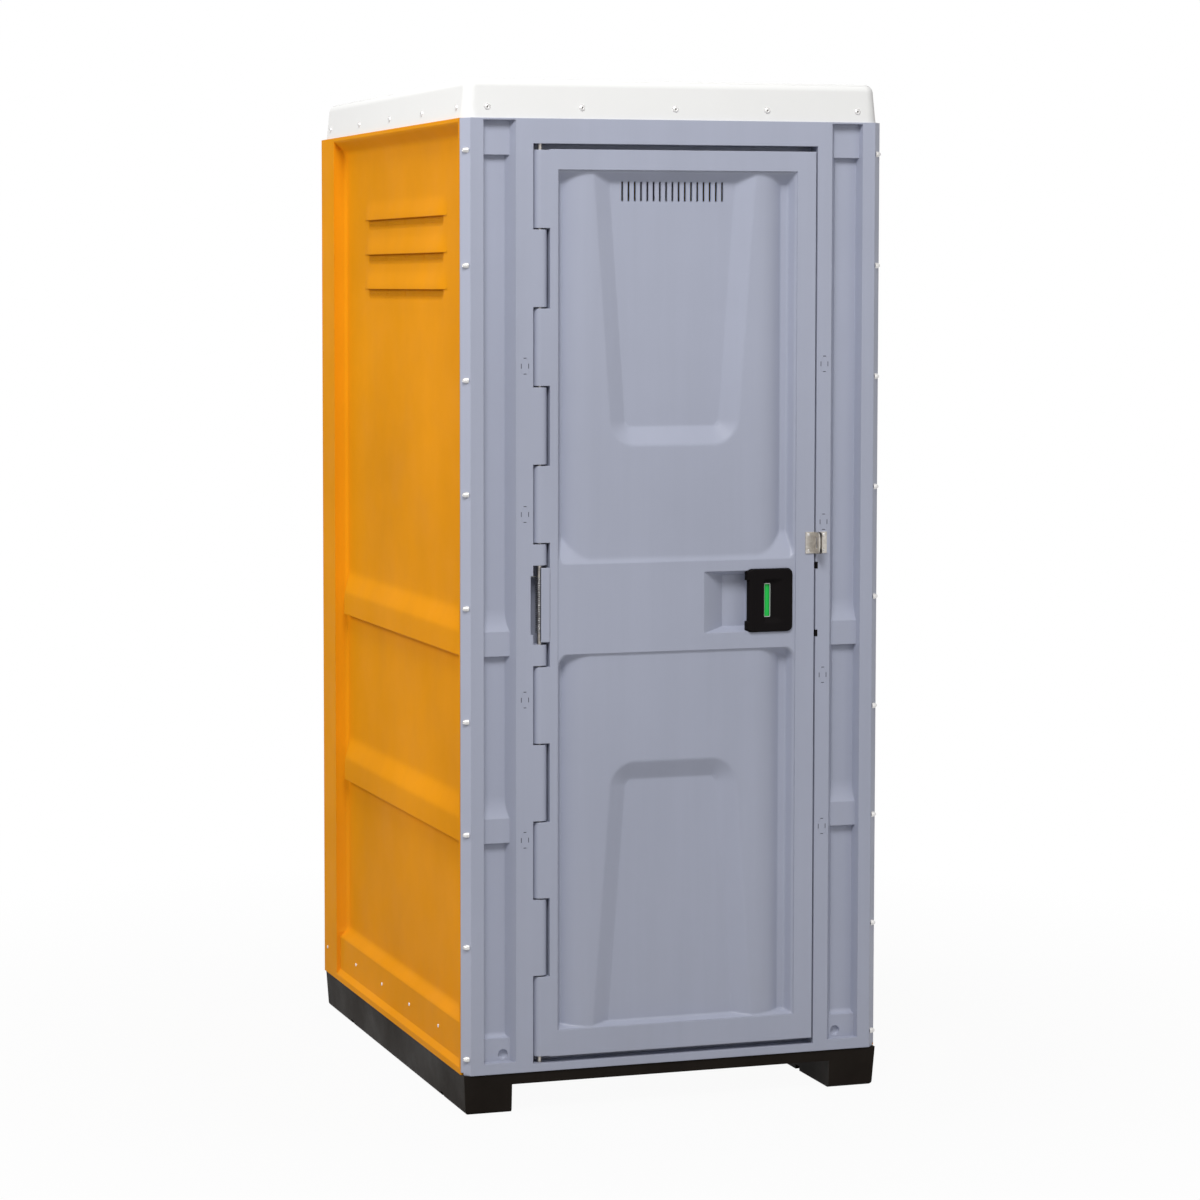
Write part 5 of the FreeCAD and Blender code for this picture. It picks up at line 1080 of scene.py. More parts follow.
@dataclass
class SideWalls:
    """Both side walls: the solids' shells with finely moulded fields, louvre hoods and screens."""

    plane: float = 500.0
    front: float = -571.0
    back: float = 482.0
    low: float = 198.0
    high: float = 2205.0
    deep: float = 33.0
    band_deep: float = 10.0
    band_run: float = 25.0
    top_run: float = 30.0
    draft: float = 0.4
    foot_round: float = 12.0
    rib_tops: tuple[float, ...] = (662.0, 1080.0)
    rib_face: float = 55.0
    rib_rise: float = 20.0
    rib_scoop: float = 48.0
    rib_end: float = 34.0
    rib_round: float = 12.0
    soft: float = 5.0
    step: float = 6.0
    lips: tuple[float, ...] = (2005.0, 1921.5, 1838.0)
    middle: float = -38.0
    half: float = 344.0
    rise: float = 7.5
    tall: float = 52.0
    fade: float = 62.0
    hood_zone: float = 51.0
    gap_half: float = 309.0
    gap_high: float = 17.0
    screen_high: float = 28.0
    screen_half: float = 316.0
    screen_round: float = 24.0
    screen_deep: float = 1.4
    strand: float = 0.0031
    strand_thick: float = 0.0009
    pitch: float = 4.6
    lean: float = 0.55
    foot_soft: float = 1.0
    least: float = 0.05
    hood_bow: float = 1.3
    outward: float = 0.03
    slack: float = 0.3
    slack_deep: float = 0.2
    slack_low: float = 0.5

    def rim(self, y: float, z: float) -> float:
        """The depth that the rims, the top slope and the bottom band leave.

        Args:
            y: the place along the wall.
            z: the height.

        Returns:
            The depth in millimetres.
        """
        inset = min(y - self.front, self.back - y)
        if inset <= 0:
            return self.least
        left = self.foot_round - min(inset, self.foot_round)
        side = self.deep - self.foot_round + math.sqrt(self.foot_round ** 2 - left ** 2)
        head = (self.high - z) * self.deep / self.top_run
        foot = self.band_deep + (z - self.low) * (self.deep - self.band_deep) / self.band_run
        head, foot = max(head, self.least), max(foot, self.band_deep + self.least)
        ends = soft_least(head, foot, self.foot_soft)
        return soft_least(soft_least(ends, self.deep, self.soft), side, self.soft / 2)

    def rib(self, y: float, z: float) -> float:
        """How far the ribs stand out of the field.

        Args:
            y: the place along the wall.
            z: the height.

        Returns:
            The height in millimetres.
        """
        best = 0.0
        for top in self.rib_tops:
            if top - self.rib_face <= z < top + self.rib_scoop + self.soft:
                above = (top + self.rib_scoop - z) * self.rib_rise / self.rib_scoop
                ends = min(y - self.front, self.back - y) * self.rib_rise / self.rib_end
                slope = soft_least(above, ends, self.rib_round)
                lift = soft_least(slope, self.rib_rise, self.soft / 2)
                best = max(best, soft_most(lift, 0.0, self.soft))
        return best

    def hood(self, y: float, z: float) -> float:
        """How far the louvre hoods stand out of the field.

        Args:
            y: the place along the wall.
            z: the height.

        Returns:
            The height in millimetres.
        """
        over = min(1.0, max(0.0, (self.half - abs(y - self.middle)) / self.fade))
        for lip in self.lips:
            up = (z - lip) / self.tall
            if 0 <= up < 1:
                along = math.sin(QUARTER_TURN * over) ** self.hood_bow
                return self.rise * along * (math.cos(QUARTER_TURN * up) ** 2)
        return 0.0

    def sunk(self, y: float, z: float) -> float:
        """How deep the screens' places lie behind the field.

        Args:
            y: the place along the wall.
            z: the height.

        Returns:
            The depth in millimetres.
        """
        for lip in self.lips:
            down = lip - z
            if 0 < down < self.screen_high:
                end = self.screen_half - abs(y - self.middle)
                inset = rounded_inset(end, self.screen_high - down, self.screen_round)
                return min(self.screen_deep, max(0.0, inset))
        return 0.0

    def is_gap(self, y: float, z: float) -> bool:
        """Whether a place is in one of the openings under the hoods.

        Args:
            y: the place along the wall.
            z: the height.

        Returns:
            Whether the wall is open there.
        """
        return abs(y - self.middle) < self.gap_half and any(
            lip - self.gap_high < z < lip - self.draft for lip in self.lips
        )

    def face(self, side: Side) -> Mesh:
        """The moulded field of one wall, down to its bottom band.

        Args:
            side: the wall that it is on.

        Returns:
            Its mesh.
        """
        ends = [
            self.front, self.front + self.draft, self.back - self.draft, self.back,
            self.middle - self.gap_half, self.middle + self.gap_half,
        ]
        levels = [self.low, self.high]
        for lip in self.lips:
            levels += [lip, lip - self.draft, lip - self.gap_high]
        for top in self.rib_tops:
            levels += [top - self.rib_face, top - self.rib_face - self.draft]

        def spot(y: float, z: float) -> Point:
            """The outer surface at a place.

            Args:
                y: the place along the wall.
                z: the height.

            Returns:
                The surface's point.
            """
            lift = self.hood(y, z) - self.sunk(y, z)
            depth = soft_least(self.rim(y, z), self.deep - self.rib(y, z), self.soft / 2) - lift
            return (side.value * (self.plane - depth), y, z)

        return sheet(
            even_lines(self.front - 1, self.back + 1, self.step, ends),
            even_lines(self.low - 1, self.high + 1, self.step, levels),
            spot, self.is_gap, side is Side.LEFT,
        )

    def is_face(self, face: WorkFace) -> bool:
        """Whether a face of the wall's solid is part of its outer field or of a plain hood.

        Args:
            face: the face.

        Returns:
            Whether the fine field stands for it.
        """
        spots = [vert.co * 1000 for vert in face.verts]
        out = [abs(spot.x) for spot in spots]
        way = 1 if spots[0].x > 0 else -1
        centre = face.calc_center_median() * 1000
        if not self.front - self.slack < centre.y < self.back + self.slack:
            return False
        if not self.low - self.slack_low < centre.z < self.high + self.slack:
            return False
        if min(out) > self.plane - self.band_deep - self.slack_deep:
            return False
        bed = self.plane - self.deep
        if face.normal.x * way > self.outward and min(out) > bed - self.slack_deep:
            return True
        return (
            max(out) > bed + self.slack_deep
            and abs(centre.y - self.middle) < self.half
            and any(-1 < centre.z - lip < self.hood_zone for lip in self.lips)
        )

    def strands(self, side: Side) -> Mesh:
        """Points for the crossing strands of the screens.

        Args:
            side: the wall that they are in.

        Returns:
            The points, with each strand's turn and size.
        """
        places, turns, sizes = [], [], []
        x = (self.plane - self.deep - self.screen_deep / 2) * side.value / 1000
        count = int(self.screen_half * 2 / self.pitch)
        for lip in self.lips:
            for n in range(count):
                y = self.pitch * (n - (count - 1) / 2)
                left = max(0.0, self.screen_round - (self.screen_half - abs(y))) / self.screen_round
                bow = 1 - math.sqrt(max(0.0, 1 - left * left))
                high = self.screen_high - self.screen_round * bow
                for lean in (self.lean, -self.lean):
                    places.append((x, (self.middle + y) / 1000, (lip - high / 2) / 1000))
                    turns.append((lean, 0.0, 0.0))
                    sizes.append((self.strand_thick, self.strand, high / math.cos(lean) / 1000))
        return seeds(places, {"turn": turns, "size": sizes})

    def build(self) -> None:
        """Makes each wall's shell, field and screens."""
        tree = Blocks("screen_strands", ORANGE)
        for side in Side:
            name = side.name.lower()
            shell = trimmed(f"{name}_wall", self.is_face)
            for piece, mesh, nodes in (
                ("wall_shell", merged([shell], ORANGE), [f"{name}_wall"]),
                ("wall_field", merged([self.face(side)], ORANGE), []),
                ("louvre_screens", tree.grow(self.strands(side), Bar_scale=1.0), []),
            ):
                shown(f"{piece}_{name}", mesh, Body.CABIN, nodes)


@dataclass
class Roof:
    """The roof cap, shaded smooth, with a thin strip behind its shoulders where the wall runs out."""

    crease: float = 0.5
    low: float = 2.2912
    high: float = 2.2966
    inset: float = 0.9999
    depth: float = 0.0035
    corner: Point = (0.465, 0.565, 0.0)
    spread: float = 3.0
    rays: int = 24
    reach: float = 2.0

    def turns(self) -> list[float]:
        """The directions of the strip's points, close together at the four corners.

        Returns:
            The angles about the upright axis, going round.
        """
        middle = math.degrees(math.atan2(self.corner[1], self.corner[0]))
        offsets = [self.spread * (2 * step / self.rays - 1) for step in range(self.rays + 1)]
        starts = (middle - 180, -middle, middle, 180 - middle)
        return [math.radians(start + offset) for start in starts for offset in offsets]

    def strip(self, work: Work) -> None:
        """Adds the closed strip just under the outer skin.

        Args:
            work: the cap's faces.
        """
        tree = BVHTree.FromBMesh(work)
        rings = []
        for turn in self.turns():
            out = Vector((math.cos(turn), math.sin(turn), 0.0))
            ends = []
            for height in (self.low, self.high):
                hit = tree.ray_cast(out * self.reach + Vector((0, 0, height)), -out)[0]
                ends.append(Vector((hit.x * self.inset, hit.y * self.inset, hit.z)))
            share = 1 - self.depth
            inner = [Vector((end.x * share, end.y * share, end.z)) for end in ends]
            inner[1].z -= self.depth / 2
            rings.append([work.verts.new(spot) for spot in (*ends, *inner[::-1])])
        faces = [
            work.faces.new((ring[side], ring[side - 1], after[side - 1], after[side]))
            for ring, after in zip(rings, rings[1:] + rings[:1])
            for side in range(4)
        ]
        bmesh.ops.recalc_face_normals(work, faces=faces)

    def build(self) -> None:
        """Shades a copy of the cap, adds the strip and puts both in their place."""
        work = bmesh.new()
        work.from_mesh(trimmed("roof", lambda face: False))
        self.strip(work)
        work.normal_update()
        creased(work, self.crease)
        mesh = evened(merged([meshed(work, "roof")], WHITE))
        shown("roof_smooth", mesh, Body.CABIN, ["roof"])


@dataclass(frozen=True)
class Panel:
    """One sunk panel of the door: its ends, bevels and tapering recess, in millimetres."""

    name: str
    low: float
    high: float
    low_bevel: float
    high_bevel: float
    round_low: bool
    recess_end: float
    recess_far: float
    recess_narrow: float
    recess_wide: float


@dataclass
class Door:
    """The moulded leaf: its shell as the solid has it, with finely shaped panels set into it."""

    left: float = -278.0
    right: float = 292.0
    deep: float = 29.0
    draft: float = 13.0
    swell: float = 7.0
    swell_half: float = 196.0
    swell_radius: float = 110.0
    recess_deep: float = 26.0
    recess_bevel: float = 42.0
    recess_round: float = 56.0
    corner: float = 34.0
    ledge: float = 2.8
    belt: float = 2.5
    front: float = -600.0
    soft: float = 1.6
    step: float = 3.0
    rim_soft: float = 1.6
    ledge_soft: float = 0.6
    crease: float = 3.2
    outward: float = 0.05
    slack: float = 0.3
    slack_deep: float = 0.2
    swell_run: float = 66.0
    rim_radius: float = 0.0007
    slots: int = 17
    slot_pitch: float = 14.9
    slot_half: float = 2.5
    slot_low: float = 2033.0
    slot_high: float = 2077.0
    panels: tuple[Panel, ...] = (
        Panel("upper", 1220.0, 2101.0, 66.0, 29.0, True, 1489.0, 2135.0, 150.0, 196.0),
        Panel("lower", 180.0, 1028.0, 8.0, 24.0, False, 778.0, 146.0, 148.0, 195.0),
    )

    def depth(self, panel: Panel, x: float, z: float) -> float:
        """How deep a panel lies behind the leaf's front.

        Args:
            panel: the panel.
            x: the place across the cabin.
            z: the height.

        Returns:
            The depth in millimetres.
        """
        over = min(max(abs(x) - self.swell_half, 0.0), self.swell_run)
        plan = self.swell + self.swell_radius - math.sqrt(self.swell_radius ** 2 - over ** 2)
        run = abs(panel.recess_far - panel.recess_end)
        along = (z - panel.recess_end) * (1 if panel.recess_far > panel.recess_end else -1)
        half = panel.recess_narrow + (panel.recess_wide - panel.recess_narrow) * along / run
        inside = rounded_inset(half - abs(x), along, self.recess_round)
        share = min(1.0, max(0.0, inside / self.recess_bevel))
        recess = self.swell + (self.recess_deep - self.swell) * share
        shape = soft_most(plan, recess, self.soft) if inside > -self.soft else plan
        across, low, high = min(x - self.left, self.right - x), z - panel.low, panel.high - z
        side = across * self.deep / self.draft
        ends = min(low * self.deep / panel.low_bevel, high * self.deep / panel.high_bevel)
        near = low if panel.round_low else high
        arc = rounded_inset(across, near, self.corner) * self.deep / self.draft
        rim = soft_least(soft_least(side, ends, self.soft), arc, self.soft)
        bed = soft_least(rim, shape, self.soft * self.rim_soft)
        return soft_most(bed, self.ledge, self.ledge_soft)

    def slot_middles(self) -> list[float]:
        """The places of the vent slots across the cabin."""
        return [self.slot_pitch * (n - (self.slots - 1) / 2) for n in range(self.slots)]

    def panel_mesh(self, panel: Panel) -> Mesh:
        """One panel's face as a fine sheet, with holes where the slots are.

        Args:
            panel: the panel.

        Returns:
            Its mesh.
        """
        vented = panel.high > self.slot_high
        middles = self.slot_middles() if vented else []
        edges = [m + way * self.slot_half for m in middles for way in (-1, 1)]
        ends = (self.slot_low, self.slot_high) if vented else ()
        return sheet(
            even_lines(self.left - 1, self.right + 1, self.step, edges),
            even_lines(panel.low - 1, panel.high + 1, self.step, ends),
            lambda x, z: (x, self.front + self.depth(panel, x, z), z),
            lambda x, z: self.slot_low < z < self.slot_high and any(
                abs(x - m) < self.slot_half for m in middles
            ),
            crease=self.crease,
        )

    def is_panel(self, face: WorkFace) -> bool:
        """Whether a face of the leaf is part of a sunk panel's front.

        Args:
            face: the face.

        Returns:
            Whether a fine panel stands for it.
        """
        if face.normal.y > -self.outward:
            return False
        spots = [vert.co * 1000 for vert in face.verts]
        if max(spot.y for spot in spots) < self.front + self.belt + self.slack_deep:
            return False
        if not all(self.left - self.slack < spot.x < self.right + self.slack for spot in spots):
            return False
        return any(
            all(panel.low - self.slack < spot.z < panel.high + self.slack for spot in spots)
            for panel in self.panels
        )

    def build(self) -> None:
        """Builds the shell, its panels and the rims of the vent slots."""
        shell = merged([trimmed("door_leaf", self.is_panel)], GREY)
        shown("door_shell", shell, Body.DOOR, ["door_leaf"])
        for panel in self.panels:
            mesh = merged([self.panel_mesh(panel)], GREY)
            shown(f"door_panel_{panel.name}", mesh, Body.DOOR)
        rims = []
        tube = Tube("slot_rim", GREY, 6)
        y = (self.front + self.recess_deep) / 1000
        for middle in self.slot_middles():
            points = []
            for start, height in (
                (0.0, self.slot_high - self.slot_half), (math.pi, self.slot_low + self.slot_half),
            ):
                for n in range(7):
                    angle = start + math.pi * n / 6
                    points.append((
                        (middle + self.slot_half * math.cos(angle)) / 1000, y,
                        (height + self.slot_half * math.sin(angle)) / 1000,
                    ))
            rims.append(tube.grow(route(points, closed=True), Tube_radius=self.rim_radius))
        shown("vent_rims", merged(rims, GREY), Body.DOOR)


@dataclass
class KnockOuts:
    """The scored outlines that can be pushed out of the frame, four on each post."""

    left_x: float = -0.3555
    right_x: float = 0.3595
    left: tuple[float, ...] = (1.669, 1.341, 0.928, 0.614)
    right: tuple[float, ...] = (1.668, 1.309, 0.959, 0.611)
    half_wide: float = 0.0085
    half_high: float = 0.0175
    corner: float = 0.0075
    front: float = -0.600
    line: float = 0.0011
    corner_steps: int = 6
    dash_wide: float = 1.5
    dash_deep: float = 1.2
    dash_upright: float = 0.62
    dash_level: float = 0.8

    def build(self) -> None:
        """Draws the raised outlines, and dark dashes on them as painted shade for the scored slits."""
        rows = [(self.left_x, z) for z in self.left] + [(self.right_x, z) for z in self.right]
        half = (self.half_wide, self.half_high)
        tube = Tube("raised_line", EMBOSS_GREY, 6)
        lines = [
            tube.grow(
                route(
                    round_outline(row, half, self.corner, self.front, self.corner_steps),
                    closed=True,
                ),
                Tube_radius=self.line / 2,
            )
            for row in rows
        ]
        shown("knock_out_lines", merged(lines, EMBOSS_GREY), Body.CABIN)
        # The dark dashes paint the shade of the scored slits onto the frame's face.
        wide, deep = self.line * self.dash_wide, self.line * self.dash_deep
        places, turns, sizes = [], [], []
        for x, z in rows:
            for way in (-1, 1):
                places.append((x + way * self.half_wide, self.front, z))
                turns.append((0.0, 0.0, 0.0))
                sizes.append((wide, deep, self.half_high * self.dash_upright))
                places.append((x, self.front, z + way * self.half_high))
                turns.append((0.0, QUARTER_TURN, 0.0))
                sizes.append((wide, deep, self.half_wide * self.dash_level))
        dashes = Blocks("scored_dashes", SCORE_SHADE).grow(
            seeds(places, {"turn": turns, "size": sizes}), Bar_scale=1.0
        )
        shown("knock_out_scores", dashes, Body.CABIN)


@dataclass
class LockTrim:
    """The lock's moulded grip with its dish and window, and the pale border round the window."""

    left: float = 173.0
    right: float = 284.0
    low: float = 1062.0
    high: float = 1205.0
    corner: float = 13.0
    rise: float = 3.0
    edge: float = 2.4
    notch: float = 178.0
    notch_low: float = 1087.0
    notch_high: float = 1180.0
    notch_soft: float = 9.0
    ridge: float = 185.0
    ridge_rise: float = 1.9
    ridge_half: float = 6.0
    dish_left: float = 214.0
    dish_right: float = 259.5
    dish_low: float = 1083.0
    dish_high: float = 1182.0
    dish_deep: float = 8.0
    dish_slopes: tuple[float, float, float] = (2.0, 17.0, 9.0)
    dish_round: float = 5.0
    dish_soft: float = 1.0
    dish_floor_soft: float = 1.5
    window: tuple[float, float, float, float] = (217.0, 231.0, 1096.0, 1171.0)
    lower: float = -8.0
    lowest: float = -14.0
    front: float = -600.0
    wall: float = 0.05
    step: float = 1.3
    border_corner: float = 0.0015
    border_line: float = 0.0019
    border_face: float = -0.5950

    def height(self, x: float, z: float) -> float:
        """How far the grip stands before the leaf's front.

        Args:
            x: the place across the cabin.
            z: the height.

        Returns:
            The height in millimetres, or less than nought where it drops away.
        """
        left, right, low, high = self.window
        if left < x < right and low < z < high:
            return self.lower
        inset = rounded_inset(
            min(x - self.left, self.right - x), min(z - self.low, self.high - z), self.corner
        )
        if inset < 0:
            return self.lowest if x < self.left else self.lower
        if self.notch_low < z < self.notch_high:
            if x < self.notch:
                return self.lowest
            inset = min(inset, x - self.notch)
        elif x < self.notch + self.notch_soft:
            past = max(self.notch_low - z, z - self.notch_high)
            inset = min(inset, past + max(0.0, x - self.notch))
        bent = self.edge - min(inset, self.edge)
        face = self.rise - self.edge + math.sqrt(self.edge ** 2 - bent ** 2)
        away = min(1.0, abs(x - self.ridge) / self.ridge_half)
        ridge = self.ridge_rise * math.cos(QUARTER_TURN * away) ** 2
        near, far, ends = (self.dish_deep / run for run in self.dish_slopes)
        sides = ((x - self.dish_left) * near, (self.dish_right - x) * far)
        dish = soft_least(*sides, self.dish_soft)
        dish = soft_least(dish, (z - self.dish_low) * ends, self.dish_round)
        dish = soft_least(dish, (self.dish_high - z) * ends, self.dish_round)
        dish = soft_least(dish, self.dish_deep, self.dish_floor_soft)
        dish = soft_most(dish, 0.0, self.dish_soft)
        return face + ridge * min(1.0, inset / self.edge) - dish

    def is_open(self, x: float, z: float) -> bool:
        """Whether a place is in the window or in the notch beside the finger hold.

        Args:
            x: the place across the cabin.
            z: the height.

        Returns:
            Whether the grip is left open there.
        """
        left, right, low, high = self.window
        gap = self.wall
        if left + gap < x < right - gap and low + gap < z < high - gap:
            return True
        return x < self.notch - gap and self.notch_low + gap < z < self.notch_high - gap

    def grip(self) -> Mesh:
        """The grip's moulded front with its rims turned back.

        Returns:
            Its mesh.
        """
        gap = self.wall
        left, right, low, high = self.window
        across = (
            left, left + gap, right - gap, right, self.left, self.right,
            self.notch, self.notch - gap,
        )
        along = (
            low, low + gap, high - gap, high, self.low, self.high,
            self.notch_low, self.notch_low + gap, self.notch_high - gap, self.notch_high,
        )
        return sheet(
            even_lines(self.left - gap, self.right + gap, self.step, across),
            even_lines(self.low - gap, self.high + gap, self.step, along),
            lambda x, z: (x, self.front - self.height(x, z), z), self.is_open, crease=0.9,
        )

    def border(self) -> list[Point]:
        """The line round the window.

        Returns:
            Its points.
        """
        left, right, low, high = (value / 1000 for value in self.window)
        return round_outline(
            ((left + right) / 2, (low + high) / 2), ((right - left) / 2, (high - low) / 2),
            self.border_corner, self.border_face, 4,
        )

    def build(self) -> None:
        """Builds the grip in place of its solid, and the border."""
        back = trimmed("lock_escutcheon", lambda face: face.normal.y < 0.9)
        mesh = merged([self.grip(), back], LOCK_BLACK)
        shown("lock_grip", mesh, Body.DOOR, ["lock_escutcheon"])
        tube = Tube("window_border", WINDOW_PALE, 8)
        mesh = tube.grow(route(self.border(), closed=True), Tube_radius=self.border_line / 2)
        shown("window_border", mesh, Body.DOOR)


@dataclass
class CloserCover:
    """The moulded cover, proud at the coil and flush where it swings past the frame."""

    left: float = -318.0
    right: float = -296.5
    low: float = 1055.0
    high: float = 1221.0
    corner: float = 8.0
    rise: float = 1.2
    lean: float = 0.065
    edge: float = 1.6
    front: float = -600.0
    hidden: float = 0.3
    step: float = 1.5

    def height(self, x: float, z: float) -> float:
        """How far the cover stands before the leaf's front.

        Args:
            x: the place across the cabin.
            z: the height.

        Returns:
            The height in millimetres, or less than nought where it is hidden.
        """
        inset = rounded_inset(self.right - x, min(z - self.low, self.high - z), self.corner)
        if inset < 0:
            return -self.hidden
        bent = 1 - min(inset, self.edge) / self.edge
        top = max(0.0, self.rise - self.lean * (x - self.left))
        return top * math.sqrt(1 - bent ** 2)

    def build(self) -> None:
        """Builds the cover's front over the rest of its solid."""
        front = sheet(
            even_lines(self.left, self.right, self.step, ()),
            even_lines(self.low, self.high, self.step, ()),
            lambda x, z: (x, self.front - self.height(x, z), z), lambda x, z: False,
        )
        mesh = merged([front, trimmed("closer_cover", lambda face: face.normal.y < -0.9)], GREY)
        shown("cover_rounded", mesh, Body.DOOR, ["closer_cover"])


@dataclass
class TieCups:
    """The round cups that close the two tie holes in the frame's foot."""

    x: float = 0.402
    z: float = 0.131
    radius: float = 0.0112
    front: float = -0.5835
    deep: float = 0.007

    def build(self) -> None:
        """Turns both cups."""
        r, d = self.radius, self.deep
        profile = [
            (0.0, d), (r * 0.6, d * 0.96), (r * 0.9, d * 0.75), (r, d * 0.4), (r, 0.0),
            (r + 0.0008, 0.0), (r + 0.0008, d * 1.1), (0.0, d * 1.1),
        ]
        cups = [lathe(profile, (self.x * way, self.front, self.z), "Y", 32) for way in (-1, 1)]
        shown("tie_hole_cups", merged(cups, GREY), Body.CABIN)


@dataclass
class Seat:
    """The ring and the open lid, as smooth ovals with hinge ears."""

    half_wide: float = 0.185
    half_long: float = 0.215
    hole_wide: float = 0.110
    hole_long: float = 0.135
    pin_back: float = 0.245
    ring_thick: float = 0.018
    ring_drop: float = 0.016
    lid_over: float = 0.006
    lid_thick: float = 0.012
    lid_gap: float = 0.001
    lid_open: float = 93.0
    ear: float = 0.010
    ear_thick: float = 0.016
    ear_flat: float = 0.9
    ear_step: float = 0.0165
    ear_gap: float = 0.0003
    chamfer: float = 0.001
    roll_share: float = 0.45
    foot_share: float = 0.18
    foot_inset: float = 0.0012
    lug_x: float = 0.080
    steps: int = 72

    def oval(self, wide: float, long: float, shrink: float) -> list[tuple[float, float]]:
        """An oval of straight sides in front of the pin.

        Args:
            wide: its half width.
            long: its half length.
            shrink: how far it is drawn in.

        Returns:
            Its points, as many as the steps.
        """
        radius, reach = wide - shrink, long - wide
        points = []
        for n in range(self.steps):
            angle = FULL_TURN * (n + 0.5) / self.steps
            shift = reach if math.sin(angle) > 0 else -reach
            points.append((radius * math.cos(angle), radius * math.sin(angle) + shift - self.pin_back))
        return points

    def board(self, wide: float, long: float, thick: float, hole: bool) -> Work:
        """A board with a rolled edge, with or without its hole.

        Args:
            wide: its half width.
            long: its half length.
            thick: its thickness.
            hole: whether it is a ring.

        Returns:
            The board, its underside at height 0.
        """
        work = bmesh.new()
        roll = thick * self.roll_share
        edge = [(self.foot_inset, 0.0), (0.0, thick * self.foot_share)] + [
            (roll * (1 - math.sin(angle)), thick - roll * (1 - math.cos(angle)))
            for angle in (QUARTER_TURN * k / 4 for k in range(4, -1, -1))
        ]
        ovals = [(self.oval(wide, long, shrink), z) for shrink, z in edge]
        if hole:
            ovals += [
                (self.oval(self.hole_wide, self.hole_long, -shrink), z) for shrink, z in edge[::-1]
            ]
        rings = [[work.verts.new((x, y, z)) for x, y in oval] for oval, z in ovals]
        pairs = list(zip(rings, rings[1:]))
        if hole:
            pairs.append((rings[-1], rings[0]))
        else:
            work.faces.new(rings[-1])
            work.faces.new(rings[0])
        for near, far in pairs:
            for n in range(self.steps):
                m = (n + 1) % self.steps
                work.faces.new((near[n], near[m], far[m], far[n])).smooth = True
        return work

    def ears(self, work: Work, x: float, low: float, high: float) -> None:
        """Adds two hinge ears with their arms.

        Args:
            work: the board that gets them.
            x: how far the ears stand from the middle.
            low: the arms' underside.
            high: the arms' top.
        """
        back, half = self.half_long - self.pin_back, self.ear_thick / 2
        rim = [
            (0.0, -half), (self.ear * self.ear_flat, -half), (self.ear, -half + self.chamfer),
        ]
        profile = rim + [(radius, -height) for radius, height in rim[::-1]]
        for middle in (-x, x):
            barrel = lathe(profile, (middle, 0.0, 0.0), "X", 32)
            work.from_mesh(barrel)
            bpy.data.meshes.remove(barrel)
            made = bmesh.ops.create_cube(work, size=1.0)["verts"]
            size = Vector((self.ear_thick, self.ear * 2 - back - self.chamfer * 2, high - low))
            spot = Vector((middle, back - self.ear + self.chamfer - back / 2, (low + high) / 2))
            for vert in made:
                vert.co = Vector(a * b for a, b in zip(vert.co, size)) + spot
            edges = list({edge for vert in made for edge in vert.link_edges})
            bmesh.ops.bevel(
                work, geom=edges, offset=self.chamfer, segments=2, affect="EDGES", profile=0.5
            )

    def finished(self, work: Work, turn: float) -> Mesh:
        """Turns a board about the pin and puts it in its place.

        Args:
            work: the board.
            turn: how far it is opened, in degrees.

        Returns:
            The mesh in the cabin's frame.
        """
        low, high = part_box("seat_hinge_pin")
        pin = (low + high) / 2
        bmesh.ops.recalc_face_normals(work, faces=work.faces)
        opened = Matrix.Rotation(math.radians(-turn), 4, "X")
        work.transform(Matrix.Translation((0.0, pin.y, pin.z)) @ opened)
        return merged([meshed(work, "seat")], SEAT_BLACK)

    def build(self) -> None:
        """Builds both boards in place of their solids."""
        top = self.ring_thick - self.ring_drop
        low = top + self.lid_gap
        for body, over, thick, foot, ear_low, ear_high, turn in (
            (Body.SEAT_RING, 0.0, self.ring_thick, -self.ring_drop, -self.ear / 2,
             top - self.ear_gap, 0.0),
            (Body.SEAT_LID, self.lid_over, self.lid_thick, low, low,
             low + self.lid_thick / 2, self.lid_open),
        ):
            ring = body is Body.SEAT_RING
            work = self.board(self.half_wide + over, self.half_long + over, thick, ring)
            bmesh.ops.translate(work, verts=work.verts, vec=(0, 0, foot))
            self.ears(work, self.lug_x - self.ear_step * (1 if ring else 2), ear_low, ear_high)
            mesh = self.finished(work, turn)
            shown(f"{body.value}_smooth", mesh, body, [body.value])


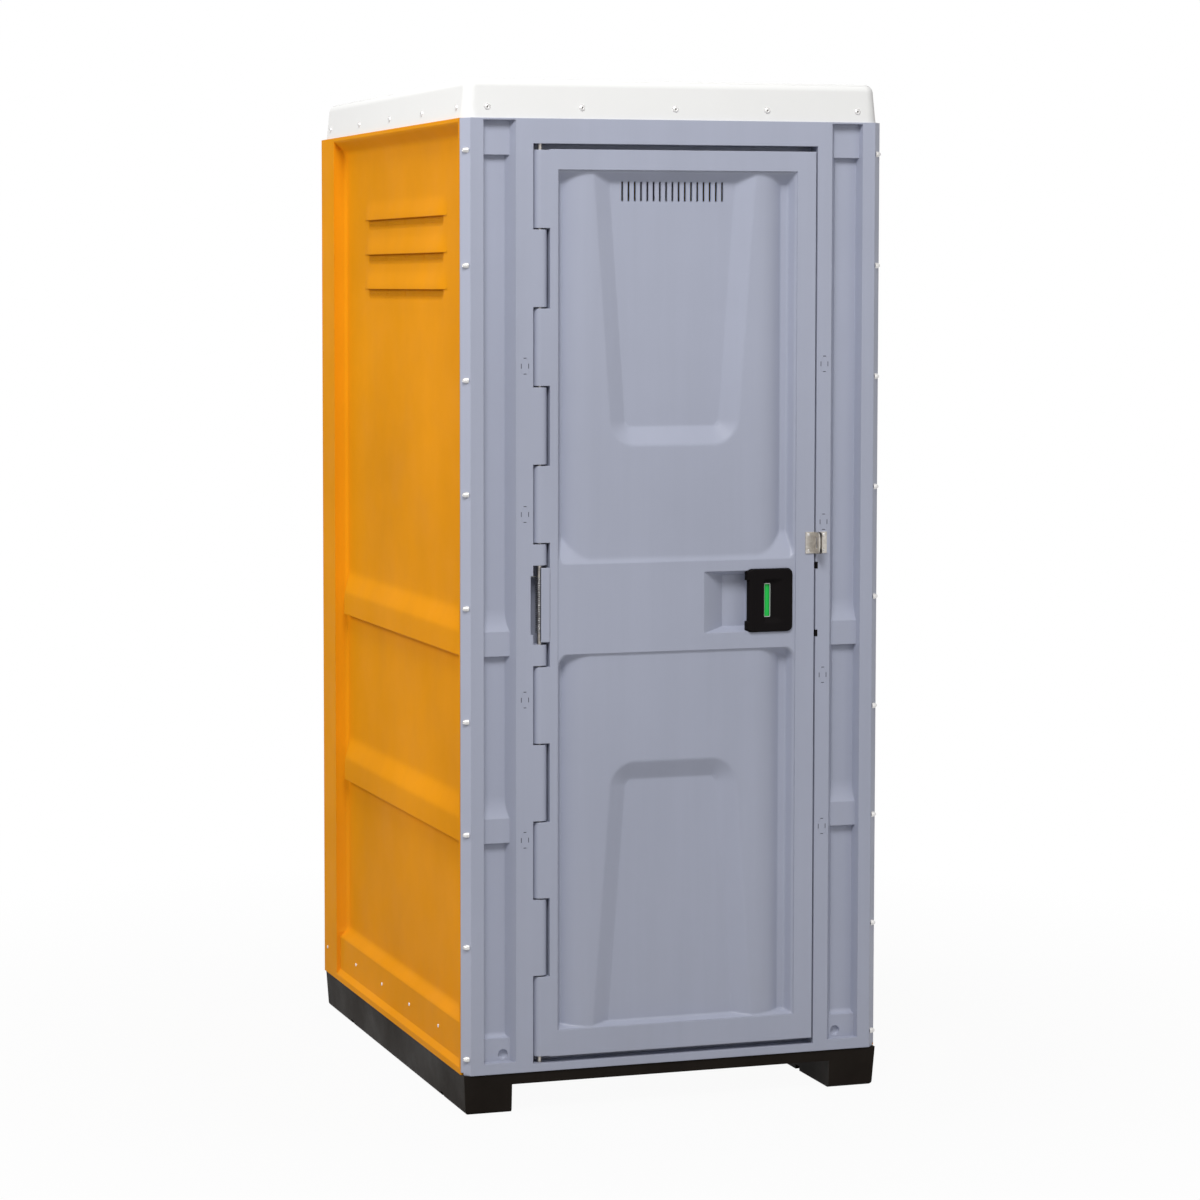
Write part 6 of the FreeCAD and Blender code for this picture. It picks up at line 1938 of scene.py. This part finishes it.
@dataclass
class Plumbing:
    """The round vent cap and the bent drain of the urinal."""

    cap_radius: float = 0.088
    pipe_radius: float = 0.055
    wall: float = 0.003
    cap_gap: float = 0.014
    skirt: float = 0.008
    collar: float = 0.012
    pipe_top: float = 2.326
    pipe_place: tuple[float, float] = (0.350, 0.455)
    drain_radius: float = 0.016
    drain_bend: float = 0.060
    drain_x: float = -0.3927
    drain_start: tuple[float, float] = (-0.110, 0.5597)
    drain_end: tuple[float, float] = (0.070, 0.330)

    def cap(self) -> Mesh:
        """The cap's collar, its three posts and its crowned lid.

        Returns:
            The cap's mesh.
        """
        x, y = self.pipe_place
        r, w, top, z = self.cap_radius, self.wall, self.cap_gap, self.skirt
        grip = self.pipe_radius + 0.0003
        lid = lathe([
            (0.0, top + w), (r * 0.55, top + w * 0.95), (r * 0.86, top + w * 0.55),
            (r * 0.97, top), (r, top - w), (r, top - z), (r - w * 0.5, top - z - 0.0001),
            (r - w, top - z), (r - w, top - w), (r * 0.8, top), (0.0, top),
        ], (x, y, self.pipe_top), "Z", 96)
        collar = lathe([
            (grip, -self.collar), (grip + w * 0.8, -self.collar), (grip + w, -self.collar + 0.001),
            (grip + w, w - 0.001), (grip + w * 0.8, w), (grip - w * 2, w), (grip - w * 2, 0.0004),
            (grip, 0.0004),
        ], (x, y, self.pipe_top), "Z", 96)
        posts = [
            lathe([(0.0, w), (w / 2, w), (w / 2, top), (0.0, top)], (
                x + (grip + w / 2) * math.cos(a), y + (grip + w / 2) * math.sin(a), self.pipe_top,
            ), "Z", 16)
            for a in (FULL_TURN * n / 3 for n in range(3))
        ]
        return merged([lid, collar, *posts], PIPE_GREY)

    def drain(self) -> list[Point]:
        """The drain's middle line, down from the bowl and back to the tank.

        Returns:
            Its points.
        """
        (y, top), (end, low) = self.drain_start, self.drain_end
        bend = self.drain_bend
        points = [(self.drain_x, y, top), (self.drain_x, y, (top + low + bend) / 2)]
        for n in range(13):
            angle = QUARTER_TURN * n / 12
            points.append((
                self.drain_x, y + bend * (1 - math.cos(angle)), low + bend * (1 - math.sin(angle)),
            ))
        return points + [(self.drain_x, end, low)]

    def build(self) -> None:
        """Builds both in place of their solids."""
        shown("vent_cap_round", self.cap(), Body.CABIN, ["vent_cap"])
        tube = Tube("drain_pipe", PIPE_GREY, 32)
        drain = tube.grow(route(self.drain()), Tube_radius=self.drain_radius)
        shown("drain_bent", drain, Body.CABIN, ["urinal_drain"])


@dataclass
class PaperRoll:
    """The wound paper on its tube."""

    radius: float = 0.0545
    core: float = 0.020
    tube: float = 0.0012
    layers: int = 24
    layer_step: float = 0.0006
    face_inset: float = 0.0002
    edge: float = 0.002

    def build(self) -> None:
        """Turns the roll, with faint steps on its ends where its layers lie."""
        low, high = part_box("paper_roll")
        middle = (low + high) / 2
        half = (high.y - low.y) / 2
        inner = self.core + self.tube
        face = [
            (inner + (self.radius - inner) * n / self.layers,
             half - self.layer_step * (n % 2) - self.face_inset)
            for n in range(1, self.layers + 1)
        ]
        upper = [(self.core, half), *face, (self.radius, half - self.edge)]
        profile = upper + [(radius, -height) for radius, height in upper[::-1]]
        mesh = merged([lathe(profile, tuple(middle), "Y", 72)], PAPER)
        shown("paper_wound", mesh, Body.PAPER_ROLL, ["paper_roll"])


@dataclass
class Studio:
    """The pale floor, the soft lamps, the sky and the camera."""

    floor_size: float = 60.0
    sky: float = 0.36
    white_near: float = 0.95
    white_from: float = 1.0
    white_to: float = 2.6
    camera_place: Point = (-2.6427, -7.5034, 1.8511)
    yaw: float = 16.676
    pitch: float = -3.759
    roll: float = -0.103
    sensor: float = 36.0
    focal: float = 3294.8
    middle: tuple[float, float] = (430.0, 500.0)
    picture: float = 1200.0
    floor_height: float = -0.0004
    aim: Point = (0.0, 0.0, 1.1)
    lamps: tuple[tuple[str, Point, float, float], ...] = (
        ("key", (-1.7, -3.9, 5.6), 2.2, 230.0),
        ("left", (-4.9, 0.3, 4.0), 2.4, 118.0),
        ("fill", (3.6, -5.0, 2.6), 3.0, 20.0),
        ("back", (2.5, 5.0, 3.4), 3.0, 110.0),
    )

    def seen_white(self, graph: Graph) -> Socket:
        """One for rays from the eye, a mirror or glass, and nought for light on the object.

        Args:
            graph: the drawing that gets the nodes.

        Returns:
            The switch's socket.
        """
        rays = graph.add("ShaderNodeLightPath").outputs
        first = graph.math("MAXIMUM", rays["Is Camera Ray"], rays["Is Glossy Ray"])
        return graph.math("MAXIMUM", first, rays["Is Transmission Ray"])

    def world(self) -> None:
        """A soft even sky that the eye sees as white."""
        world = bpy.data.worlds.new("studio")
        world.use_nodes = True
        graph = Graph(world.node_tree)
        lit = graph.one(
            "ShaderNodeBackground", {"Color": (1.0, 0.99, 0.98, 1.0), "Strength": self.sky}
        )
        white = graph.one("ShaderNodeBackground", {"Color": (1, 1, 1, 1), "Strength": 1.0})
        mixed = graph.one("ShaderNodeMixShader", {0: self.seen_white(graph), 1: lit, 2: white})
        graph.add("ShaderNodeOutputWorld", {}, {0: mixed})
        bpy.context.scene.world = world

    def floor(self) -> None:
        """A white floor that keeps a soft shadow."""
        half = self.floor_size / 2
        mesh = bpy.data.meshes.new("floor")
        corners = [
            (half * x, half * y, self.floor_height) for x, y in ((-1, -1), (1, -1), (1, 1), (-1, 1))
        ]
        mesh.from_pydata(corners, [], [(0, 1, 2, 3)])
        made = bpy.data.materials.new("studio_floor")
        made.use_nodes = True
        graph = Graph(made.node_tree)
        lit = graph.one("ShaderNodeBsdfDiffuse", {"Color": (0.42, 0.42, 0.42, 1.0)})
        glow = graph.one("ShaderNodeEmission", {"Color": (1, 1, 1, 1), "Strength": 1.0})
        place = graph.add("ShaderNodeTexCoord").outputs["Object"]
        away = graph.add("ShaderNodeVectorMath", {"operation": "LENGTH"}, {0: place}).outputs["Value"]
        glowing = graph.ramp(away, self.white_from, self.white_to, self.white_near, 1.0)
        share = graph.math("MULTIPLY", self.seen_white(graph), glowing)
        mixed = graph.one("ShaderNodeMixShader", {0: share, 1: lit, 2: glow})
        graph.add("ShaderNodeOutputMaterial", {}, {0: mixed})
        mesh.materials.append(made)
        floor = bpy.data.objects.new("studio_floor", mesh)
        bpy.context.scene.collection.objects.link(floor)

    def light(self) -> None:
        """Large soft lamps that face the cabin's middle."""
        for name, spot, size, power in self.lamps:
            data = bpy.data.lights.new(name, "AREA")
            data.shape = "DISK"
            data.size = size
            data.energy = power
            lamp = bpy.data.objects.new(name, data)
            lamp.location = spot
            away = Vector(spot) - Vector(self.aim)
            lamp.rotation_euler = away.to_track_quat("Z", "Y").to_euler()
            bpy.context.scene.collection.objects.link(lamp)

    def camera(self) -> None:
        """The camera where the photographer's stood."""
        yaw, pitch, roll = (math.radians(a) for a in (self.yaw, self.pitch, self.roll))
        reach = math.cos(pitch)
        ahead = Vector((math.sin(yaw) * reach, math.cos(yaw) * reach, math.sin(pitch)))
        level = Vector((math.cos(yaw), -math.sin(yaw), 0.0))
        upright = level.cross(ahead)
        right = level * math.cos(roll) + upright * math.sin(roll)
        up = upright * math.cos(roll) - level * math.sin(roll)
        data = bpy.data.cameras.new("camera")
        data.sensor_width = self.sensor
        data.lens = self.sensor * self.focal / self.picture
        data.shift_x = 0.5 - self.middle[0] / self.picture
        data.shift_y = self.middle[1] / self.picture - 0.5
        data.clip_end = 200.0
        camera = bpy.data.objects.new("camera", data)
        camera.matrix_world = Matrix.Translation(self.camera_place) @ Matrix(
            (right, up, -ahead)
        ).transposed().to_4x4()
        bpy.context.scene.collection.objects.link(camera)
        bpy.context.scene.camera = camera

    def build(self) -> None:
        """Sets up the whole studio."""
        self.world()
        self.floor()
        self.light()
        self.camera()
        bpy.context.scene.view_settings.view_transform = "Standard"


def dress_solids() -> None:
    """Gives each carried-over solid its finish."""
    for finish, nodes in NODE_FINISHES.items():
        for node in nodes:
            finish.on(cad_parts[node])
            LOG.info("%s: %s", node, finish.name)


def main() -> None:
    """Builds the cabin's pieces in order."""
    logging.basicConfig(level=logging.INFO, format="%(message)s")
    dress_solids()
    for part in (
        Riveting(), Closer(), SideWalls(), Roof(), Door(), KnockOuts(), LockTrim(),
        CloserCover(), TieCups(), Seat(), Plumbing(), PaperRoll(), Studio(),
    ):
        part.build()


if __name__ == "__main__":
    main()
